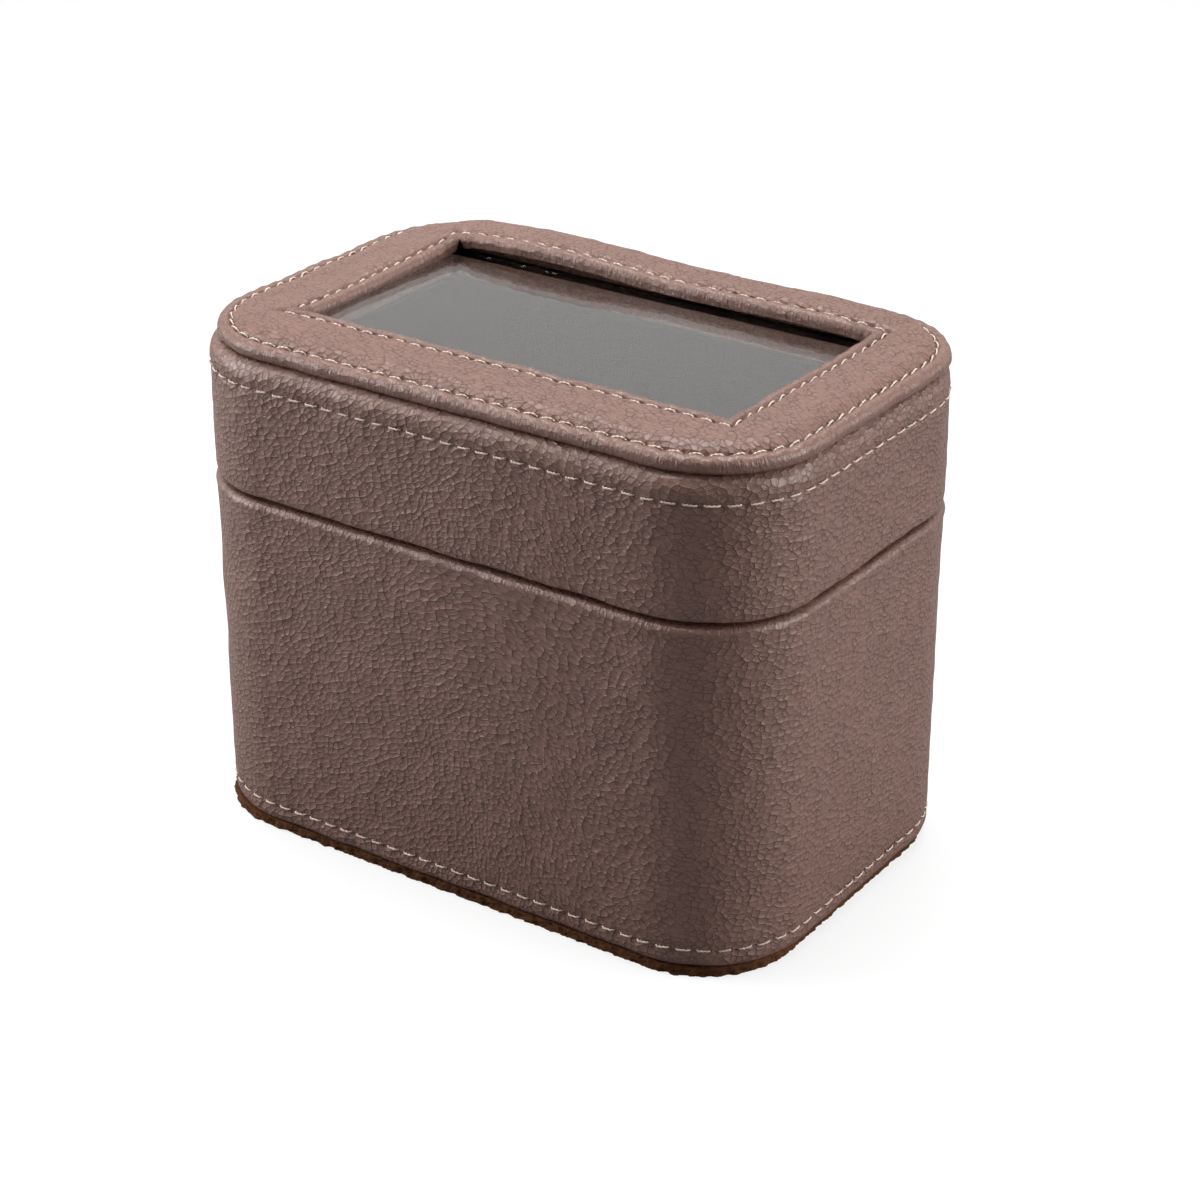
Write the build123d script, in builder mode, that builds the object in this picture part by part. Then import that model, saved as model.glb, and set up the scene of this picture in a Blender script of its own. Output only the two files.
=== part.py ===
"""Watch box: a leather covered case whose hinged lid has a padded frame round a glass window.

All sizes are in millimetres. The origin is at the middle of the underside, +X runs along the
long side, +Y points to the hinged back and +Z points up. The lid is shown closed.
"""
import os

from build123d import *

os.makedirs("parts", exist_ok=True)

# Outside of the closed box
box_width = 121.0
box_depth = 79.0
box_height = 96.0
wall_corner_radius = 20.5

# The seam between base and lid, and the padded frame on top of the lid
seam_height = 66.0
seam_gap = 0.3
frame_height = 4.5

# What the walls are made of, from the outside in
leather_thickness = 1.2
board_thickness = 3.0
lining_thickness = 0.8

# Sheet under the base
sheet_thickness = 1.8
sheet_inset = 1.0

# Rolled edges of the leather
base_rim_radius = 1.6
foot_edge_radius = 1.6
lid_rim_radius = 0.8
lid_top_edge_radius = 1.8

# How far the linings stay below the leather rims
rim_reveal = 0.6

# Padded frame: a bead along its edge, a domed pad inside the bead, and the sewn channel by the window
frame_inset = 0.8
frame_bead_radius = 1.5
frame_bead_rise = 1.3
pad_inset = 1.6
pad_shoulder_radius = 4.8
inner_row_margin = 2.5
channel_radius = 1.4
channel_depth = 0.7

# Window through the padded frame, and the glass that the frame holds down round it
frame_band = 16.8
window_lip_radius = 1.5
pane_rise = 1.6
pane_thickness = 2.0
pane_lap = 3.0
pane_corner_radius = 1.0
pane_ledge = 2.5
pane_clearance = 0.2
card_clearance = 0.2

# Divider between the two places in the base
divider_thickness = 2.0
divider_height = 38.0
divider_skin = 0.6
divider_clearance = 0.2

# Watch pillows
pillow_length = 45.0
pillow_depth = 58.0
pillow_height = 40.0
pillow_edge_radius = 17.0
pillow_end_radius = 5.0
pillow_skin = 1.0
pillow_clearance = 0.3

# Hinges at the back: two leaves, a barrel of three knuckles and a pin each
hinge_spacing = 56.0
hinge_length = 16.0
leaf_thickness = 0.7
leaf_margin = 0.2
barrel_radius = 1.3
barrel_relief = 0.3
knuckle_gap = 0.2
pin_radius = 0.55
pin_clearance = 0.05
pin_head = 0.1

# Screws that hold the leaves
screw_spacing = 10.0
screw_head_radius = 1.0
screw_shank_radius = 0.45
screw_head_height = 0.5
screw_length = 5.0
screw_clearance = 0.05

# Closing magnets, hidden in the front boards
magnet_spacing = 56.0
magnet_length = 10.0
magnet_thickness = 2.0
magnet_height = 3.0
magnet_clearance = 0.05

# Heights that follow
base_top = seam_height - seam_gap / 2
lid_bottom = seam_height + seam_gap / 2
lid_top = box_height - frame_height
pane_top = lid_top + pane_rise
board_foot = sheet_thickness + leather_thickness
base_board_top = base_top - leather_thickness
floor_top = sheet_thickness + board_thickness
floor_lining_top = floor_top + lining_thickness
lid_board_bottom = lid_bottom + leather_thickness
lid_board_top = lid_top - leather_thickness
ceiling = lid_board_top - board_thickness
ceiling_lining_bottom = ceiling - lining_thickness
pillow_bottom = floor_lining_top + pillow_clearance

# Insets from the outside that follow
wall_stack = leather_thickness + board_thickness
room_inset = wall_stack + lining_thickness

# Places that follow
back_face = box_depth / 2
front_board_middle = leather_thickness + board_thickness / 2 - box_depth / 2
back_board_middle = box_depth / 2 - leather_thickness - board_thickness / 2
hinge_places = {"left": -hinge_spacing / 2, "right": hinge_spacing / 2}
leaf_reach = wall_stack - leaf_margin
knuckle_length = (hinge_length - 2 * knuckle_gap) / 3
place_width = box_width / 2 - room_inset - divider_thickness / 2 - divider_skin
place_middle = box_width / 2 - room_inset - place_width / 2
window_width = box_width - 2 * frame_band
window_depth = box_depth - 2 * frame_band
pane_width = window_width + 2 * pane_lap
pane_depth = window_depth + 2 * pane_lap


def outline(inset):
    """Width, depth and corner radius of the wall's outline, drawn in by inset."""
    return box_width - 2 * inset, box_depth - 2 * inset, wall_corner_radius - inset


def finish(part, name):
    """Label a finished piece and write it."""
    part.label = name
    export_step(part, f"parts/{name}.step")
    print(name, round(part.volume, 1))


# Cuts for the hinges: one set for each half, taken out of its leather and its board
def hinge_cut(rim, up):
    """Seats for both leaves of one half, with its barrel grooves and screw holes.

    rim is the height of the half's rim, and up is 1 where the wall lies above it, -1 below.
    """
    with BuildPart() as cut:
        for middle in hinge_places.values():
            with BuildSketch(Plane.XY.offset(rim)):
                with Locations((middle, back_face - leaf_reach / 2)):
                    Rectangle(hinge_length + 2 * leaf_margin, leaf_reach + leaf_margin)
            extrude(amount=up * leaf_thickness)
            with BuildSketch(Plane.YZ.offset(middle - hinge_length / 2 - barrel_relief)):
                with Locations((back_face, seam_height)):
                    Circle(barrel_radius + barrel_relief)
            extrude(amount=hinge_length + 2 * barrel_relief)
            with BuildSketch(Plane.XY.offset(rim)):
                with Locations((middle, back_board_middle)):
                    with GridLocations(screw_spacing, 0, 2, 1):
                        Circle(screw_shank_radius + screw_clearance)
            extrude(amount=up * (screw_length + screw_clearance))
    return cut.part


base_hinge_cut = hinge_cut(base_top, -1)
lid_hinge_cut = hinge_cut(lid_bottom, 1)


def magnet_blocks(board_rim, up, clearance):
    """The magnets of one half, or with a clearance the pockets that hold them."""
    with BuildPart() as blocks:
        with BuildSketch(Plane.XY.offset(board_rim)):
            with Locations((0, front_board_middle)):
                with GridLocations(magnet_spacing, 0, 2, 1):
                    Rectangle(magnet_length + 2 * clearance, magnet_thickness + 2 * clearance)
        extrude(amount=up * (magnet_height + clearance))
    return blocks.part


def wall_ring(inner_inset, outer_inset, bottom, top):
    """An upright ring of the wall between two insets from its outside."""
    with BuildPart() as ring:
        with BuildSketch(Plane.XY.offset(bottom)):
            RectangleRounded(*outline(outer_inset))
            RectangleRounded(*outline(inner_inset), mode=Mode.SUBTRACT)
        extrude(amount=top - bottom)
    return ring.part


def wall_wrap(bottom, top, lower_radius, upper_radius):
    """Leather round a wall board, rolled over its upper edge and under its lower one."""
    with BuildPart() as wrap:
        with BuildSketch(Plane.XY.offset(bottom)):
            RectangleRounded(*outline(0))
        extrude(amount=top - bottom)
        fillet(wrap.faces().sort_by(Axis.Z)[-1].edges(), upper_radius)
        fillet(wrap.faces().sort_by(Axis.Z)[0].edges(), lower_radius)
        with BuildSketch(Plane.XY.offset(bottom)):
            RectangleRounded(*outline(wall_stack))
        extrude(amount=top - bottom, mode=Mode.SUBTRACT)
        with BuildSketch(Plane.XY.offset(bottom + leather_thickness)):
            RectangleRounded(*outline(leather_thickness))
        extrude(amount=top - bottom - 2 * leather_thickness, mode=Mode.SUBTRACT)
    return wrap.part


base_magnet_pockets = magnet_blocks(base_board_top, -1, magnet_clearance)
base_board_ring = wall_ring(wall_stack, leather_thickness, board_foot, base_board_top)
base_wrap_form = wall_wrap(sheet_thickness, base_top, foot_edge_radius, base_rim_radius)
base_lining_ring = wall_ring(room_inset, wall_stack, floor_lining_top, base_top - rim_reveal)
base_magnet_form = magnet_blocks(base_board_top, -1, 0)


# Base
with BuildPart() as bottom_suede_sheet:
    with BuildSketch():
        RectangleRounded(*outline(sheet_inset))
    extrude(amount=sheet_thickness)
finish(bottom_suede_sheet.part, "bottom_suede_sheet")

with BuildPart() as base_floor_board:
    with BuildSketch(Plane.XY.offset(sheet_thickness)):
        RectangleRounded(*outline(wall_stack))
    extrude(amount=board_thickness)
finish(base_floor_board.part, "base_floor_board")

with BuildPart() as base_wall_board:
    add(base_board_ring)
    add(base_magnet_pockets, mode=Mode.SUBTRACT)
    add(base_hinge_cut, mode=Mode.SUBTRACT)
finish(base_wall_board.part, "base_wall_board")

with BuildPart() as base_leather_wrap:
    add(base_wrap_form)
    add(base_hinge_cut, mode=Mode.SUBTRACT)
finish(base_leather_wrap.part, "base_leather_wrap")

with BuildPart() as base_floor_lining:
    with BuildSketch(Plane.XY.offset(floor_top)):
        RectangleRounded(*outline(wall_stack))
    extrude(amount=lining_thickness)
finish(base_floor_lining.part, "base_floor_lining")

with BuildPart() as base_wall_lining:
    add(base_lining_ring)
finish(base_wall_lining.part, "base_wall_lining")

divider_length = box_depth - 2 * room_inset - 2 * divider_clearance
with BuildPart() as divider_board:
    with BuildSketch(Plane.XY.offset(floor_lining_top)):
        Rectangle(divider_thickness, divider_length)
    extrude(amount=divider_height)
finish(divider_board.part, "divider_board")

with BuildPart() as divider_suede:
    with BuildSketch(Plane.XY.offset(floor_lining_top)):
        Rectangle(divider_thickness + 2 * divider_skin, divider_length)
    extrude(amount=divider_height + divider_skin)
    fillet(divider_suede.faces().sort_by(Axis.Z)[-1].edges().filter_by(Axis.Y), divider_skin / 2)
    with BuildSketch(Plane.XY.offset(floor_lining_top)):
        Rectangle(divider_thickness, divider_length)
    extrude(amount=divider_height, mode=Mode.SUBTRACT)
finish(divider_suede.part, "divider_suede")

with BuildPart() as base_magnets:
    add(base_magnet_form)
finish(base_magnets.part, "base_magnets")


# Watch pillows, one in each place
def pillow_form(middle, skin):
    """The pillow's soft form, drawn in by skin on every side."""
    length = pillow_length - 2 * skin
    with BuildPart() as form:
        with BuildSketch(Plane.YZ.offset(middle - length / 2)):
            with Locations((0, pillow_bottom + pillow_height / 2)):
                RectangleRounded(
                    pillow_depth - 2 * skin, pillow_height - 2 * skin, pillow_edge_radius - skin
                )
        extrude(amount=length)
        ends = form.faces().filter_by(Axis.X)
        fillet(ends.edges(), pillow_end_radius - skin)
    return form.part


for side, sign in (("left", -1), ("right", 1)):
    pillow_skin_form = pillow_form(sign * place_middle, 0)
    pillow_core_form = pillow_form(sign * place_middle, pillow_skin)
    with BuildPart() as pillow_core:
        add(pillow_core_form)
    finish(pillow_core.part, f"pillow_{side}_core")
    with BuildPart() as pillow_cover:
        add(pillow_skin_form)
        add(pillow_core_form, mode=Mode.SUBTRACT)
    finish(pillow_cover.part, f"pillow_{side}_cover")


# Lid
lid_magnet_pockets = magnet_blocks(lid_board_bottom, 1, magnet_clearance)
lid_board_ring = wall_ring(wall_stack, leather_thickness, lid_board_bottom, ceiling)
lid_wrap_form = wall_wrap(lid_bottom, lid_top, lid_rim_radius, lid_top_edge_radius)
lid_lining_ring = wall_ring(room_inset, wall_stack, lid_bottom + rim_reveal, ceiling_lining_bottom)
lid_magnet_form = magnet_blocks(lid_board_bottom, 1, 0)

with BuildPart() as pane_seat:
    with BuildSketch(Plane.XY.offset(pane_top)):
        RectangleRounded(pane_width + 2 * pane_clearance, pane_depth + 2 * pane_clearance, pane_corner_radius)
    extrude(amount=-pane_thickness)

with BuildPart() as lid_wall_board:
    add(lid_board_ring)
    add(lid_magnet_pockets, mode=Mode.SUBTRACT)
    add(lid_hinge_cut, mode=Mode.SUBTRACT)
finish(lid_wall_board.part, "lid_wall_board")

with BuildPart() as lid_top_board:
    with BuildSketch(Plane.XY.offset(ceiling)):
        RectangleRounded(*outline(leather_thickness))
        Rectangle(pane_width - 2 * pane_ledge, pane_depth - 2 * pane_ledge, mode=Mode.SUBTRACT)
    extrude(amount=board_thickness)
finish(lid_top_board.part, "lid_top_board")

with BuildPart() as lid_leather_wrap:
    add(lid_wrap_form)
    add(lid_hinge_cut, mode=Mode.SUBTRACT)
finish(lid_leather_wrap.part, "lid_leather_wrap")

with BuildPart() as lid_ceiling_lining:
    with BuildSketch(Plane.XY.offset(ceiling_lining_bottom)):
        RectangleRounded(*outline(wall_stack))
        Rectangle(pane_width - 2 * pane_ledge, pane_depth - 2 * pane_ledge, mode=Mode.SUBTRACT)
    extrude(amount=lining_thickness)
finish(lid_ceiling_lining.part, "lid_ceiling_lining")

with BuildPart() as lid_wall_lining:
    add(lid_lining_ring)
finish(lid_wall_lining.part, "lid_wall_lining")

with BuildPart() as lid_magnets:
    add(lid_magnet_form)
finish(lid_magnets.part, "lid_magnets")

with BuildPart() as frame_card:
    with BuildSketch(Plane.XY.offset(lid_board_top)):
        RectangleRounded(*outline(wall_stack + card_clearance))
        Rectangle(pane_width - 2 * pane_ledge, pane_depth - 2 * pane_ledge, mode=Mode.SUBTRACT)
    extrude(amount=leather_thickness)
    add(pane_seat.part, mode=Mode.SUBTRACT)
finish(frame_card.part, "frame_card")

with BuildPart() as window_pane:
    with BuildSketch(Plane.XY.offset(pane_top)):
        RectangleRounded(pane_width, pane_depth, pane_corner_radius)
    extrude(amount=-pane_thickness)
finish(window_pane.part, "window_pane")


# Padded frame round the window
def padded_frame(skin):
    """The frame's domed pad, drawn in by skin, with its lip and the sewn channel round the window."""
    with BuildPart() as form:
        with BuildSketch(Plane.XY.offset(box_height - 2 * pad_shoulder_radius)):
            RectangleRounded(*outline(frame_inset + pad_inset + skin))
            Rectangle(window_width + 2 * skin, window_depth + 2 * skin, mode=Mode.SUBTRACT)
        extrude(amount=2 * pad_shoulder_radius - skin)
        crown = form.faces().sort_by(Axis.Z)[-1]
        outer_edges = crown.outer_wire().edges()
        inner_edges = crown.inner_wires()[0].edges()
        fillet(outer_edges, pad_shoulder_radius - skin)
        fillet(inner_edges, window_lip_radius - skin)
        channel_axis = box_height - channel_depth + channel_radius
        row_width = window_width + 2 * inner_row_margin
        row_depth = window_depth + 2 * inner_row_margin
        with BuildLine(Plane.XY.offset(channel_axis)) as inner_row:
            Polyline(
                (0, -row_depth / 2),
                (row_width / 2, -row_depth / 2),
                (row_width / 2, row_depth / 2),
                (-row_width / 2, row_depth / 2),
                (-row_width / 2, -row_depth / 2),
                (0, -row_depth / 2),
            )
        with BuildSketch(Plane.YZ):
            with Locations((-row_depth / 2, channel_axis)):
                Circle(channel_radius + skin)
        sweep(path=inner_row.wire(), transition=Transition.RIGHT, mode=Mode.SUBTRACT)
        split(bisect_by=Plane.XY.offset(lid_top), keep=Keep.TOP)
    return form.part


def frame_bead():
    """The rolled edge of the frame's leather, which rests on the lid and meets the pad's shoulder."""
    width, depth, radius = outline(frame_inset + frame_bead_radius)
    x = width / 2
    y = depth / 2
    with BuildPart() as bead:
        with BuildLine(Plane.XY.offset(lid_top + frame_bead_rise)) as middle_line:
            FilletPolyline((0, -y), (x, -y), (x, y), (0, y), radius=radius)
            FilletPolyline((0, y), (-x, y), (-x, -y), (0, -y), radius=radius)
        with BuildSketch(Plane.YZ):
            with Locations((-y, lid_top + frame_bead_rise)):
                Circle(frame_bead_radius)
        sweep(path=middle_line.wire())
        split(bisect_by=Plane.XY.offset(lid_top), keep=Keep.TOP)
    return bead.part


frame_bead_form = frame_bead()
frame_pad_form = padded_frame(0)
frame_core_form = padded_frame(leather_thickness)

with BuildPart() as frame_foam:
    add(frame_core_form)
    add(pane_seat.part, mode=Mode.SUBTRACT)
finish(frame_foam.part, "frame_foam")

with BuildPart() as frame_leather:
    add(frame_pad_form)
    add(frame_bead_form)
    add(frame_core_form, mode=Mode.SUBTRACT)
    add(pane_seat.part, mode=Mode.SUBTRACT)
finish(frame_leather.part, "frame_leather")


# Hinges and their screws
def leaf(middle, rim, up, knuckles):
    """One hinge leaf on its rim, with the knuckles that are its own.

    knuckles holds the places of its knuckles in the barrel, counted 0, 1, 2 from the left.
    """
    left_end = middle - hinge_length / 2
    step = knuckle_length + knuckle_gap
    with BuildPart() as piece:
        with BuildSketch(Plane.XY.offset(rim)):
            with Locations((middle, back_face - leaf_reach / 2)):
                Rectangle(hinge_length, leaf_reach)
        extrude(amount=up * leaf_thickness)
        for place in range(3):
            if place not in knuckles:
                with BuildSketch(Plane.YZ.offset(left_end + place * step - knuckle_gap)):
                    with Locations((back_face, seam_height)):
                        Circle(barrel_radius + knuckle_gap)
                extrude(amount=knuckle_length + 2 * knuckle_gap, mode=Mode.SUBTRACT)
        for place in knuckles:
            with BuildSketch(Plane.YZ.offset(left_end + place * step)):
                with Locations((back_face, seam_height)):
                    Circle(barrel_radius)
            extrude(amount=knuckle_length)
        with BuildSketch(Plane.YZ.offset(left_end)):
            with Locations((back_face, seam_height)):
                Circle(pin_radius + pin_clearance)
        extrude(amount=hinge_length, mode=Mode.SUBTRACT)
        with Locations(Location((middle, back_board_middle, rim), (90 + 90 * up, 0, 0))):
            with GridLocations(screw_spacing, 0, 2, 1):
                CounterSinkHole(
                    radius=screw_shank_radius + screw_clearance,
                    counter_sink_radius=screw_head_radius + screw_clearance,
                    depth=2 * leaf_thickness,
                )
    return piece.part


with BuildPart() as screw:
    with BuildSketch(Plane.XZ):
        with BuildLine():
            Polyline(
                (0, 0),
                (screw_head_radius, 0),
                (screw_shank_radius, -screw_head_height),
                (screw_shank_radius, screw_head_radius - screw_length),
                (0, -screw_length),
                close=True,
            )
        make_face()
    revolve(axis=Axis.Z)

for side, middle in hinge_places.items():
    with BuildPart() as base_leaf:
        add(leaf(middle, base_top, -1, (0, 2)))
    finish(base_leaf.part, f"hinge_base_leaf_{side}")
    with BuildPart() as lid_leaf:
        add(leaf(middle, lid_bottom, 1, (1,)))
    finish(lid_leaf.part, f"hinge_lid_leaf_{side}")
    with BuildPart() as hinge_pin:
        with BuildSketch(Plane.YZ.offset(middle - hinge_length / 2 - pin_head)):
            with Locations((back_face, seam_height)):
                Circle(pin_radius)
        extrude(amount=hinge_length + 2 * pin_head)
    finish(hinge_pin.part, f"hinge_pin_{side}")

screw_places = [
    (middle + offset, back_board_middle)
    for middle in hinge_places.values()
    for offset in (-screw_spacing / 2, screw_spacing / 2)
]
with BuildPart() as hinge_base_screws:
    for x, y in screw_places:
        with Locations((x, y, base_top)):
            add(screw.part)
finish(hinge_base_screws.part, "hinge_base_screws")

with BuildPart() as hinge_lid_screws:
    for x, y in screw_places:
        with Locations(Location((x, y, lid_bottom), (180, 0, 0))):
            add(screw.part)
finish(hinge_lid_screws.part, "hinge_lid_screws")
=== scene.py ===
"""Looks of the watch box: leather, sewing, suede, glass and fittings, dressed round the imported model.

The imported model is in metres, with its origin under the middle of the box, +X along the long side,
+Y to the hinged back and +Z up. Sizes in this file are in millimetres, and MM turns them into metres.
"""
import logging
import math
from dataclasses import dataclass
from enum import Enum
from typing import Any, Iterable, Sequence

import bmesh
import bpy
import numpy as np
from mathutils import Matrix, Vector


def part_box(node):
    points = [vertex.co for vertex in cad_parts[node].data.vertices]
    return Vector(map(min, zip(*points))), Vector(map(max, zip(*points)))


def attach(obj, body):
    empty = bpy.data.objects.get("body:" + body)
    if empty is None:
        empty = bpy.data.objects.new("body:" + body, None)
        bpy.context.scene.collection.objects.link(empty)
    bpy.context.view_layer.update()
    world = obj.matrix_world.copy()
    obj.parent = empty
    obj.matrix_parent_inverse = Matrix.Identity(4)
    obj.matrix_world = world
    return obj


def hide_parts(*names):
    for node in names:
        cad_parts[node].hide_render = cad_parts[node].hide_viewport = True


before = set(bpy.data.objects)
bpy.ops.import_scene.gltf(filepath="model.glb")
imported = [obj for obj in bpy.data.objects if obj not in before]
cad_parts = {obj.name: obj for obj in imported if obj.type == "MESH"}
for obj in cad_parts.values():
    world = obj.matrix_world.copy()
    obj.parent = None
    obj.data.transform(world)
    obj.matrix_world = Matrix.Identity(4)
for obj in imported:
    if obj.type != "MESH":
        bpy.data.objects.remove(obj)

MM = 0.001
PLAIN_SOCKETS = {bool: "Bool", int: "Int", float: "Float"}
CORNERS = ((0, 0), (0, 1), (1, 1), (1, 0))
log = logging.getLogger("watch_box")

Socket = bpy.types.NodeSocket
Node = bpy.types.Node
Tree = bpy.types.NodeTree
Piece = bpy.types.Object
Material = bpy.types.Material
Pair = tuple[float, float]
Triple = tuple[float, float, float]


class Body(Enum):
    """Moving bodies of the box."""

    BASE = "base"
    LID = "lid"
    PILLOW_LEFT = "pillow_left"
    PILLOW_RIGHT = "pillow_right"


class Slot(Enum):
    """Material slots of the record, passed along with each piece."""

    LEATHER = "leather_taupe"
    SUEDE = "suede_brown"
    LINING = "lining_suede"
    PILLOW = "pillow_suede"
    GLASS = "pane_glass"
    SCREW = "screw_brass"


class Graph:
    """Writes a node tree as short calls, each of which adds one node and joins its inputs."""

    def __init__(self, tree: Tree) -> None:
        """Start on a tree.

        Args:
            tree: the shader or geometry tree to write into.
        """
        self.tree = tree
        self.made = 0

    def add(self, kind: str, inputs: dict[Any, Any] | None = None, **settings: Any) -> Node:
        """Add a node.

        Args:
            kind: the node's type name.
            inputs: a value or a socket for each input, by the input's name or place.
            settings: the node's own properties.

        Returns:
            The new node.
        """
        node = self.tree.nodes.new(kind)
        node.location = (180 * (self.made % 12), -260 * (self.made // 12))
        self.made += 1
        for name, value in settings.items():
            setattr(node, name, value)
        for key, value in (inputs or {}).items():
            if isinstance(value, Socket):
                self.tree.links.new(value, node.inputs[key])
            else:
                node.inputs[key].default_value = value
        return node

    def math(self, operation: str, *values: Any) -> Socket:
        """Result of a Math node on values or sockets."""
        return self.add("ShaderNodeMath", dict(enumerate(values)), operation=operation).outputs[0]

    def vector(self, operation: str, *values: Any) -> Socket:
        """Result of a Vector Math node on values or sockets."""
        keys = (0, "Scale") if operation == "SCALE" else range(len(values))
        node = self.add("ShaderNodeVectorMath", dict(zip(keys, values)), operation=operation)
        return node.outputs["Value" if operation == "DOT_PRODUCT" else "Vector"]

    def steps(self, where: Any, size: Any) -> Socket:
        """Places counted in steps of a size."""
        return self.vector("SCALE", where, self.math("DIVIDE", 1.0, size))

    def join(self, node: Node, **sockets: Socket) -> None:
        """Join sockets to a node's inputs by their names, with underscores for blanks."""
        for name, socket in sockets.items():
            self.tree.links.new(socket, node.inputs[name.replace("_", " ")])

    def blend(self, factor: Any, first: Any, second: Any) -> Socket:
        """Colour between two colours."""
        return self.add("ShaderNodeMix", {0: factor, 6: first, 7: second}, data_type="RGBA").outputs[2]

    def between(self, factor: Any, first: Any, second: Any) -> Socket:
        """Number between two numbers."""
        return self.add("ShaderNodeMix", {0: factor, 2: first, 3: second}).outputs[0]

    def ramp(self, value: Any, low: Any, high: Any, start: Any = 0.0, end: Any = 1.0) -> Socket:
        """Smooth change from start to end as a value goes from low to high."""
        places = {"Value": value, "From Min": low, "From Max": high, "To Min": start, "To Max": end}
        return self.add("ShaderNodeMapRange", places, interpolation_type="SMOOTHSTEP").outputs[0]

    def noise(
        self, where: Any, scale: float, detail: float = 2.0, rough: float = 0.5, output: str = "Fac"
    ) -> Socket:
        """An output of a noise texture."""
        inputs = {"Vector": where, "Scale": scale, "Detail": detail, "Roughness": rough}
        return self.add("ShaderNodeTexNoise", inputs).outputs[output]

    def cells(self, where: Any, feature: str, scale: float = 1.0, loose: float = 1.0) -> Any:
        """Outputs of a cell texture on a plane."""
        inputs = {"Vector": where, "Scale": scale, "Randomness": loose}
        node = self.add("ShaderNodeTexVoronoi", inputs, feature=feature, voronoi_dimensions="2D")
        return node.outputs

    def attribute(self, name: str, kind: str) -> Socket:
        """A named attribute of the geometry."""
        return self.add("GeometryNodeInputNamedAttribute", {"Name": name}, data_type=kind).outputs[0]

    def chance(self, low: Sequence[float], high: Sequence[float], seed: Any) -> Socket:
        """A random vector for each point."""
        inputs = {0: low, 1: high, "Seed": seed}
        return self.add("FunctionNodeRandomValue", inputs, data_type="FLOAT_VECTOR").outputs[0]

    def turned(self, turn: Any, lean: Any) -> Socket:
        """A rotation leaned by angles about its own axes."""
        lean = self.add("FunctionNodeEulerToRotation", {0: lean}).outputs[0]
        return self.add("FunctionNodeRotateRotation", {0: turn, 1: lean}, rotation_space="LOCAL").outputs[0]

    def stretch(self, count: int, **ends: Any) -> Socket:
        """A straight curve of a number of points."""
        line = self.add("GeometryNodeCurvePrimitiveLine", ends).outputs[0]
        return self.add("GeometryNodeResampleCurve", {0: line, "Count": count}, mode="COUNT").outputs[0]

    def ring(self, sides: int, radius: Any) -> Socket:
        """A closed curve with a number of sides."""
        inputs = {"Resolution": sides, "Radius": radius}
        return self.add("GeometryNodeCurvePrimitiveCircle", inputs).outputs[0]

    def tube(self, line: Any, profile: Any) -> Socket:
        """A closed tube along a line."""
        inputs = {"Curve": line, "Profile Curve": profile, "Fill Caps": True}
        return self.add("GeometryNodeCurveToMesh", inputs).outputs[0]

    def lay(self, take: Any, sink: Node, smooth: bool, **how: Any) -> None:
        """Lay a piece on each point and end the tree with it, as plain mesh in its material.

        Args:
            take: the tree's input sockets.
            sink: the tree's output node.
            smooth: whether the faces are shaded smooth.
            how: the Points, the Instance, and its Rotation or Scale.
        """
        laid = self.add("GeometryNodeInstanceOnPoints", how).outputs[0]
        done = self.add("GeometryNodeRealizeInstances", {0: laid}).outputs[0]
        if smooth:
            done = self.add("GeometryNodeSetShadeSmooth", {0: done}).outputs[0]
        inputs = {"Geometry": done, "Material": take["Material"]}
        self.tree.links.new(self.add("GeometryNodeSetMaterial", inputs).outputs[0], sink.inputs[0])


def group_tree(name: str, kind: str, ins: dict[str, Any], outs: dict[str, str]) -> tuple[Graph, Any, Any]:
    """A named node group with its sockets.

    Args:
        name: the group's name.
        kind: its tree type.
        ins: for each input, its default, or the kind of its socket where it has none.
        outs: for each output, the kind of its socket.

    Returns:
        The graph to write into, its input sockets and its output node.
    """
    tree = bpy.data.node_groups.new(name, kind)
    for label, value in ins.items():
        socket_kind = value if isinstance(value, str) else PLAIN_SOCKETS[type(value)]
        socket = tree.interface.new_socket(label, in_out="INPUT", socket_type="NodeSocket" + socket_kind)
        if not isinstance(value, str):
            socket.default_value = value
    for label, socket_kind in outs.items():
        tree.interface.new_socket(label, in_out="OUTPUT", socket_type="NodeSocket" + socket_kind)
    graph = Graph(tree)
    return graph, graph.add("NodeGroupInput").outputs, graph.add("NodeGroupOutput")


def piece_tree(name: str, **ins: Any) -> tuple[Graph, Any, Any]:
    """A geometry tree that makes a piece in its material, with more inputs by their names."""
    inputs = {label.title().replace("_", " "): value for label, value in ins.items()}
    inputs = {"Geometry": "Geometry", **inputs, "Material": "Material"}
    return group_tree(name, "GeometryNodeTree", inputs, {"Geometry": "Geometry"})


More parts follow.
